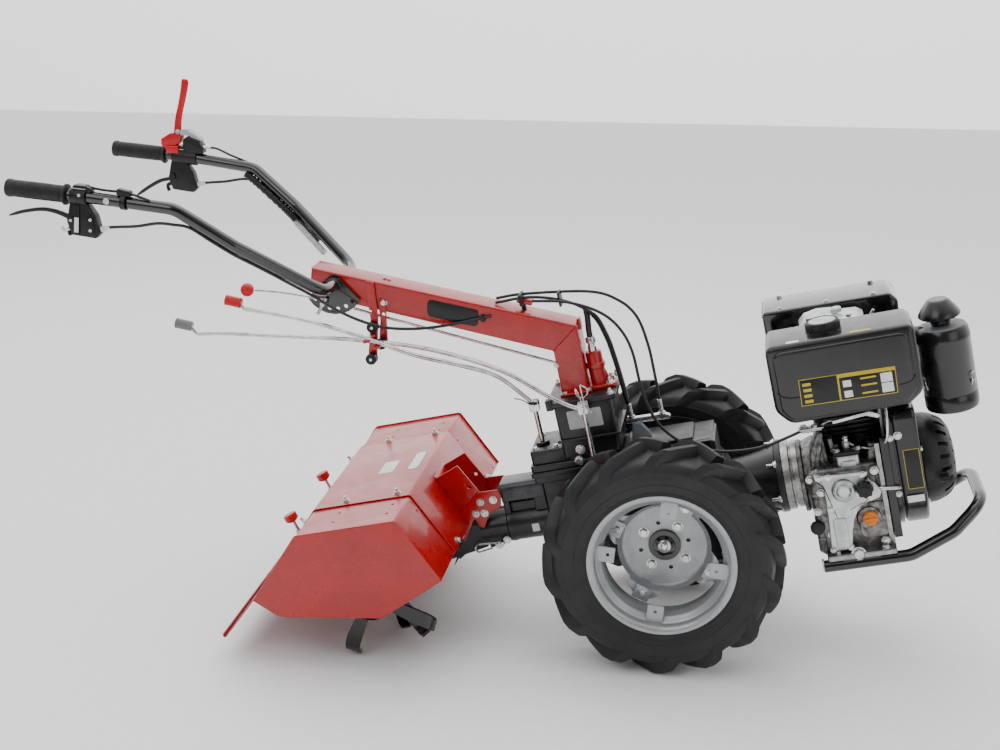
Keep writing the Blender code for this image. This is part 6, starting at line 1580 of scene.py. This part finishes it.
def build_chassis_cables(sizes):
    """Clutch leads down the column, the throttle lead to the engine, their clips and the clutch lever."""
    front = [(-0.3, 0.01, 0.612), (-0.23, 0.01, 0.61), (-0.08, 0.01, 0.588), (-0.015, 0.01, 0.555),
        (0.021, 0.006, 0.509), (0.034, 0.003, 0.441), (0.036, 0.0, 0.367), (0.034, 0.0, 0.2666)]
    column = [(-0.3, -0.01, 0.606), (-0.215, -0.01, 0.604), (-0.133, -0.008, 0.578), (-0.078, -0.006, 0.535),
        (-0.058, -0.004, 0.48), (-0.05, 0.0, 0.421), (-0.044, 0.0, 0.347), (-0.04, 0.0, 0.2666)]
    throttle = [(-0.21, -0.024, 0.597), (-0.13, -0.026, 0.58), (-0.06, -0.03, 0.545), (-0.02, -0.034, 0.5),
        (0.0, -0.04, 0.44), (0.006, -0.05, 0.34), (0.03, -0.066, 0.26), (0.085, -0.08, 0.205),
        (0.15, -0.087, 0.18), (0.206, -0.09, 0.172), (0.265, -0.091, 0.174), (0.315, -0.094, 0.187),
        (0.352, -0.097, 0.199)]
    piece("clutch_lead", [curved(front, 8, CABLE, 14)], "sheath", stands_for=["front_cable"])
    thick = spline(column, 8)
    share = np.linspace(0, 1, len(thick))
    piece("column_lead", [swept(thick, np.where((share > 0.4) & (share < 0.93), 0.0052, CABLE), 16)],
        "sheath", stands_for=["column_cable"])
    ribs = thick[(share > 0.42) & (share < 0.92)]
    fine = spline(ribs, 6)
    piece("column_sleeve", [swept(fine, 0.0064 + 0.0009 * np.cos(np.arange(len(fine)) * TAU / 3), 16)],
        "plastic")
    piece("throttle_lead", [curved(throttle, 8, CABLE, 14)], "sheath", stands_for=["throttle_cable"])
    clips = [block((-0.2405, -0.2335), (-0.032, 0.02), (0.589, 0.6175), 0.008, 0.002, "yz"),
        block((-0.15, -0.145), (-0.02, 0.022), (0.568, 0.604), 0.008, 0.002, "yz"),
        turned([(0.0036, -0.003), (0.0056, -0.003), (0.0056, 0.003), (0.0036, 0.003)], (0.265, -0.091, 0.174),
        (1, 0, 0.1), 16, closed=True), block((-0.242, -0.232), (-0.006, 0.01), (0.545, 0.595), 0.003, 0.001)]
    piece("lead_clips", clips, "plastic")
    ends = [rod((0.034, 0, 0.3), (0.034, 0, 0.268), 0.0054, 14), rod((-0.04, 0, 0.3), (-0.04, 0, 0.268),
        0.0062, 14), turned([(0.0, 0.262), (0.009, 0.262), (0.009, 0.27), (0.0, 0.27)], (-0.04, 0, 0),
        steps=24), turned([(0.0, 0.262), (0.0085, 0.262), (0.0085, 0.268), (0.0, 0.268)], (0.034, 0, 0),
        steps=24)]
    arm = [slab([(-0.054, 0.2525), (0.052, 0.2495), (0.054, 0.258), (0.04, 0.2655), (-0.048, 0.266),
        (-0.056, 0.26)], -0.0075, 0.0075, 0.0015, 0.004)]
    piece("clutch_arm_lever", ends + arm, "steel", stands_for=["clutch_arm"])
    web = [slab([(-0.05, 0.2053), (0.002, 0.2053), (-0.004, 0.225), (-0.022, 0.252), (-0.04, 0.252)], -0.009,
        0.009, 0.002, 0.004), turned([(0.0, 0.2053), (0.019, 0.2053), (0.018, 0.212), (0.012, 0.216),
        (0.0, 0.216)], (-0.026, 0, 0), steps=32)]
    piece("clutch_arm_stand", web, "grey")


def arm_offset(point, depth):
    """A place beside the bar's arm, on its lower rear side: p + d (-0.771, -0.333, -0.543)."""
    return np.array(point) + depth * np.array([-0.771, -0.333, -0.543])


def build_bar_cables(sizes):
    """Steering leads under both arms, the ribbed sleeve, the spring and the bow to the boom's side."""
    for side, word in SIDES:
        turn, place = clamp_frame(side)
        outlet = turn @ np.array([-0.0705, 0.049, 0.0]) + place
        near = [outlet, outlet + (0.016, 0, -0.002), (-0.998, side * 0.289, 0.988),
            (-0.95, side * 0.288, 0.985), (-0.915, side * 0.283, 0.974)]
        near += [arm_offset(p, 0.0183) for p in ((-0.872, side * 0.263, 0.968), (-0.838, side * 0.248, 0.928),
            (-0.8, side * 0.23, 0.8835), (-0.768, side * 0.205, 0.8468), (-0.74, side * 0.184, 0.8144))]
        piece("bar_lead_" + word, [curved(near, 8, CABLE, 14)], "sheath", BAR,
            stands_for=["bar_cable_" + word])
    upper = [(-1.03, 0.287, 1.085), (-1.0, 0.29, 1.076), (-0.965, 0.286, 1.052), (-0.93, 0.282, 1.03),
        (-0.9, 0.276, 1.01)]
    piece("stop_lead", [curved(upper, 8, 0.003, 12)], "sheath", BAR, slot=None)
    plug = [rod((-1.036, 0.287, 1.087), (-1.012, 0.289, 1.081), 0.005, 16)]
    piece("stop_lead_plug", plug, "steel", BAR, slot=None)
    line = [arm_offset(p, 0.0235) for p in ((-0.912, 0.279, 1.01), (-0.88, 0.266, 0.976),
        (-0.83, 0.245, 0.918), (-0.806, 0.233, 0.89), (-0.79, 0.222, 0.872))]
    fine = spline(line, 24)
    piece("ribbed_sleeve", [swept(fine, 0.0095 + 0.0009 * np.cos(np.arange(len(fine)) * TAU / 6), 20)],
        "plastic", BAR)
    t = np.linspace(0, 1, 520)
    a, b = arm_offset((-0.792, 0.222, 0.872), 0.026), arm_offset((-0.72, 0.17, 0.79), 0.028)
    axis = (b - a) / np.linalg.norm(b - a)
    n = np.cross(axis, (0, 1, 0))
    n /= np.linalg.norm(n)
    m = np.cross(axis, n)
    coil = a + (b - a) * t[:, None] + 0.0075 * (n * np.cos(TAU * 26 * t)[:, None] + m *
        np.sin(TAU * 26 * t)[:, None])
    piece("return_spring", [swept(coil, 0.0017, 8)], "steel", BAR, slot=None)
    bow = [arm_offset((-0.74, -0.184, 0.8144), 0.0183), arm_offset((-0.716, -0.166, 0.7867), 0.019),
        (-0.692, -0.146, 0.732), (-0.66, -0.122, 0.69), (-0.616, -0.103, 0.648), (-0.56, -0.09, 0.614),
        (-0.495, -0.075, 0.594), (-0.43, -0.058, 0.584), (-0.385, -0.0466, 0.582), (-0.35, -0.0456, 0.583),
        (-0.31, -0.0456, 0.584)]
    sag = piece("boom_lead", [curved(bow, 8, CABLE, 14)], "sheath", None, stands_for=["boom_cable"])
    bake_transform(sag)
    clip = [block((-0.336, -0.326), (-0.05, -0.0405), (0.574, 0.59), 0.002, 0.001, "xz")]
    piece("boom_lead_clip", clip, "plastic")


# Stage ----------------------------------------------------------------------------------------------

def build_stage(sizes):
    """Pale floor, soft overhead and side lights, the camera, and a surround that is bright behind and above
    the machine and dim in front of it, so that dark paint stays dark: strength follows 1.05 y + 0.75 z."""
    scene = bpy.context.scene
    made = bpy.data.meshes.new("floor")
    made.from_pydata([(-9, -9, 0), (9, -9, 0), (9, 9, 0), (-9, 9, 0)], [], [(0, 1, 2, 3)])
    floor = bpy.data.objects.new("floor", made)
    scene.collection.objects.link(floor)
    made.materials.append(pale_floor())
    world = bpy.data.worlds.new("studio")
    world.use_nodes = True
    tree = world.node_tree
    tree.nodes["Background"].inputs["Color"].default_value = (1.0, 1.0, 1.0, 1.0)
    way = add_node(tree, "ShaderNodeTexCoord").outputs["Generated"]
    slope = add_node(tree, "ShaderNodeVectorMath", {1: (0.0, 1.05 * sizes.sky, 0.75 * sizes.sky)}, {0: way},
        operation="DOT_PRODUCT").outputs["Value"]
    lit = add_node(tree, "ShaderNodeMapRange", {"From Min": -0.3, "From Max": 1.0, "To Min": 0.16, "To Max":
        1.0 + sizes.sky}, {"Value": slope}).outputs["Result"]
    tree.links.new(lit, tree.nodes["Background"].inputs["Strength"])
    scene.world = world
    middle = np.array([0.0, 0.0, 0.45])
    lamps = [("key", (-1.6, -3.2, 3.4), 2.6, sizes.key), ("fill", (3.0, -2.6, 1.9), 2.2, sizes.key * 0.45),
        ("top", (0.2, 0.8, 3.8), 3.2, sizes.key * 0.8), ("rim", (-2.4, 2.8, 2.6), 2.0, sizes.key * 0.35)]
    for name, place, width, power in lamps:
        lamp = bpy.data.lights.new(name, "AREA")
        lamp.shape, lamp.size, lamp.energy = "SQUARE", width, power
        obj = bpy.data.objects.new(name, lamp)
        obj.matrix_world = aimed(np.array(place), middle)
        scene.collection.objects.link(obj)
    camera = bpy.data.cameras.new("camera")
    camera.sensor_width, camera.lens, camera.clip_end = 36.0, CAMERA_LENS, 60.0
    viewer = bpy.data.objects.new("camera", camera)
    place = parked([CAMERA_PLACE])[0]
    viewer.matrix_world = aimed(place, parked([CAMERA_TARGET])[0], CAMERA_ROLL)
    scene.collection.objects.link(viewer)
    scene.camera = viewer


def aimed(place, target, roll=0.0):
    """Matrix of an object at a place whose -Z looks at the target, turned by roll about its view line."""
    back = (place - target) / np.linalg.norm(place - target)
    right = np.cross((0.0, 0.0, 1.0), back)
    right /= np.linalg.norm(right)
    up = np.cross(back, right)
    c, s = math.cos(roll), math.sin(roll)
    right, up = c * right + s * up, c * up - s * right
    return Matrix(np.vstack([np.column_stack([right, up, back, place]), [0, 0, 0, 1]]).tolist())


# Sizes and colours ----------------------------------------------------------------------------------

CAMERA_PLACE = (0.4714, -3.3528, 1.3433)
CAMERA_TARGET = (-0.3323, 0.0, 0.4255)
CAMERA_ROLL = -0.0028
CAMERA_LENS = 53.06


class TractorSizes(PropertyGroup):
    """Sizes and light levels that a maker may change."""
    tyre_radius: FloatProperty(name="Tyre radius", description="Radius over the lugs of the driven tyres",
        default=0.28, unit="LENGTH")
    lugs: IntProperty(name="Lug pairs", description="Chevron lugs on each side of a tyre", default=14, min=8,
        max=24)
    key: FloatProperty(name="Key light", description="Power of the main soft light in watts", default=48.0)
    sky: FloatProperty(name="Sky light", description="Strength of the pale studio surround", default=0.95)


class TractorColours(PropertyGroup):
    """Colours that a maker may change, as display values."""
    enamel: FloatVectorProperty(name="Enamel", description="Red of the hood, the boom and the hitch",
        subtype="COLOR_GAMMA", size=3, min=0.0, max=1.0, default=(0.7, 0.002, 0.01))


class BuildStep:
    """What the operators share: each runs its makers with the scene's sizes."""
    bl_options = {"REGISTER", "UNDO"}
    makers = ()

    def execute(self, context):
        for maker in self.makers:
            maker(context.scene.tractor_sizes)
        return {"FINISHED"}


class TRACTOR_OT_finishes(Operator):
    """Make the finishes of every material in the machine"""
    bl_idname = "tractor.finishes"
    bl_label = "Finishes"

    def execute(self, context):
        make_finishes(context.scene.tractor_colours)
        return {"FINISHED"}


class TRACTOR_OT_wheels(BuildStep, Operator):
    """Build both driven wheels: lugged tyre, rim, hub and bolts"""
    bl_idname = "tractor.wheels"
    bl_label = "Wheels"
    makers = (build_wheels,)


class TRACTOR_OT_hood(BuildStep, Operator):
    """Build the tiller's hood, its wings and its flap with the adjusters"""
    bl_idname = "tractor.hood"
    bl_label = "Hood and flap"
    makers = (build_hood, build_flap)


class TRACTOR_OT_tiller(BuildStep, Operator):
    """Build the tine rotor, its chain case and the hitch"""
    bl_idname = "tractor.tiller"
    bl_label = "Tiller"
    makers = (build_rotor, build_tiller_drive)


class TRACTOR_OT_gearbox(BuildStep, Operator):
    """Build the gearbox, gear column and power take-off coupling"""
    bl_idname = "tractor.gearbox"
    bl_label = "Gearbox"
    makers = (build_gearbox, build_column, build_coupling)


class TRACTOR_OT_boom(BuildStep, Operator):
    """Build the handlebar's boom, the cable guide and the shift rods"""
    bl_idname = "tractor.boom"
    bl_label = "Boom and rods"
    makers = (build_boom, build_guide, build_rods)


class TRACTOR_OT_engine(BuildStep, Operator):
    """Build the engine's castings, covers, fins, pump and fan housing"""
    bl_idname = "tractor.engine"
    bl_label = "Engine"
    makers = (build_crankcase, build_timing_cover, build_cylinder, build_shroud, build_recoil)


class TRACTOR_OT_tank(BuildStep, Operator):
    """Build the fuel tank, the muffler, the air cleaner and the bumper"""
    bl_idname = "tractor.tank"
    bl_label = "Tank, muffler and bumper"
    makers = (build_tank, build_muffler, build_air_cleaner, build_bumper)


class TRACTOR_OT_handlebar(BuildStep, Operator):
    """Build the handlebar with its grips, clamps, levers and stop lever"""
    bl_idname = "tractor.handlebar"
    bl_label = "Handlebar"
    makers = (build_bar, build_grips, build_clamps, build_stop_lever, build_throttle_lever)


class TRACTOR_OT_cables(BuildStep, Operator):
    """Build the clutch, throttle and steering leads with their clips"""
    bl_idname = "tractor.cables"
    bl_label = "Cables"
    makers = (build_chassis_cables, build_bar_cables)


class TRACTOR_OT_stage(BuildStep, Operator):
    """Build the floor, the lights, the surround and the camera"""
    bl_idname = "tractor.stage"
    bl_label = "Stage"
    makers = (build_stage,)


STEPS = (TRACTOR_OT_finishes, TRACTOR_OT_wheels, TRACTOR_OT_hood, TRACTOR_OT_tiller, TRACTOR_OT_gearbox,
    TRACTOR_OT_boom, TRACTOR_OT_engine, TRACTOR_OT_tank, TRACTOR_OT_handlebar, TRACTOR_OT_cables,
    TRACTOR_OT_stage)


class TRACTOR_PT_panel(Panel):
    """Sidebar panel with the sizes, the colours and one button for each step"""
    bl_label = "Walking tractor"
    bl_idname = "TRACTOR_PT_panel"
    bl_space_type = "VIEW_3D"
    bl_region_type = "UI"
    bl_category = "Tractor"

    def draw(self, context):
        for group, names in ((context.scene.tractor_sizes, TractorSizes.__annotations__),
                (context.scene.tractor_colours, TractorColours.__annotations__)):
            for name in names:
                self.layout.prop(group, name)
        for step in STEPS:
            self.layout.operator(step.bl_idname, text=step.bl_label)


CLASSES = (TractorSizes, TractorColours, *STEPS, TRACTOR_PT_panel)


def register():
    """Add the classes and the two groups of properties."""
    for made in CLASSES:
        bpy.utils.register_class(made)
    bpy.types.Scene.tractor_sizes = PointerProperty(type=TractorSizes)
    bpy.types.Scene.tractor_colours = PointerProperty(type=TractorColours)


def unregister():
    """Remove them again."""
    del bpy.types.Scene.tractor_colours
    del bpy.types.Scene.tractor_sizes
    for made in reversed(CLASSES):
        bpy.utils.unregister_class(made)


def main():
    """Run every step in order."""
    register()
    for step in STEPS:
        group, name = step.bl_idname.split(".")
        result = getattr(getattr(bpy.ops, group), name)()
        if result != {"FINISHED"}:
            raise RuntimeError(f"{step.bl_label} did not finish")


if __name__ == "__main__":
    main()
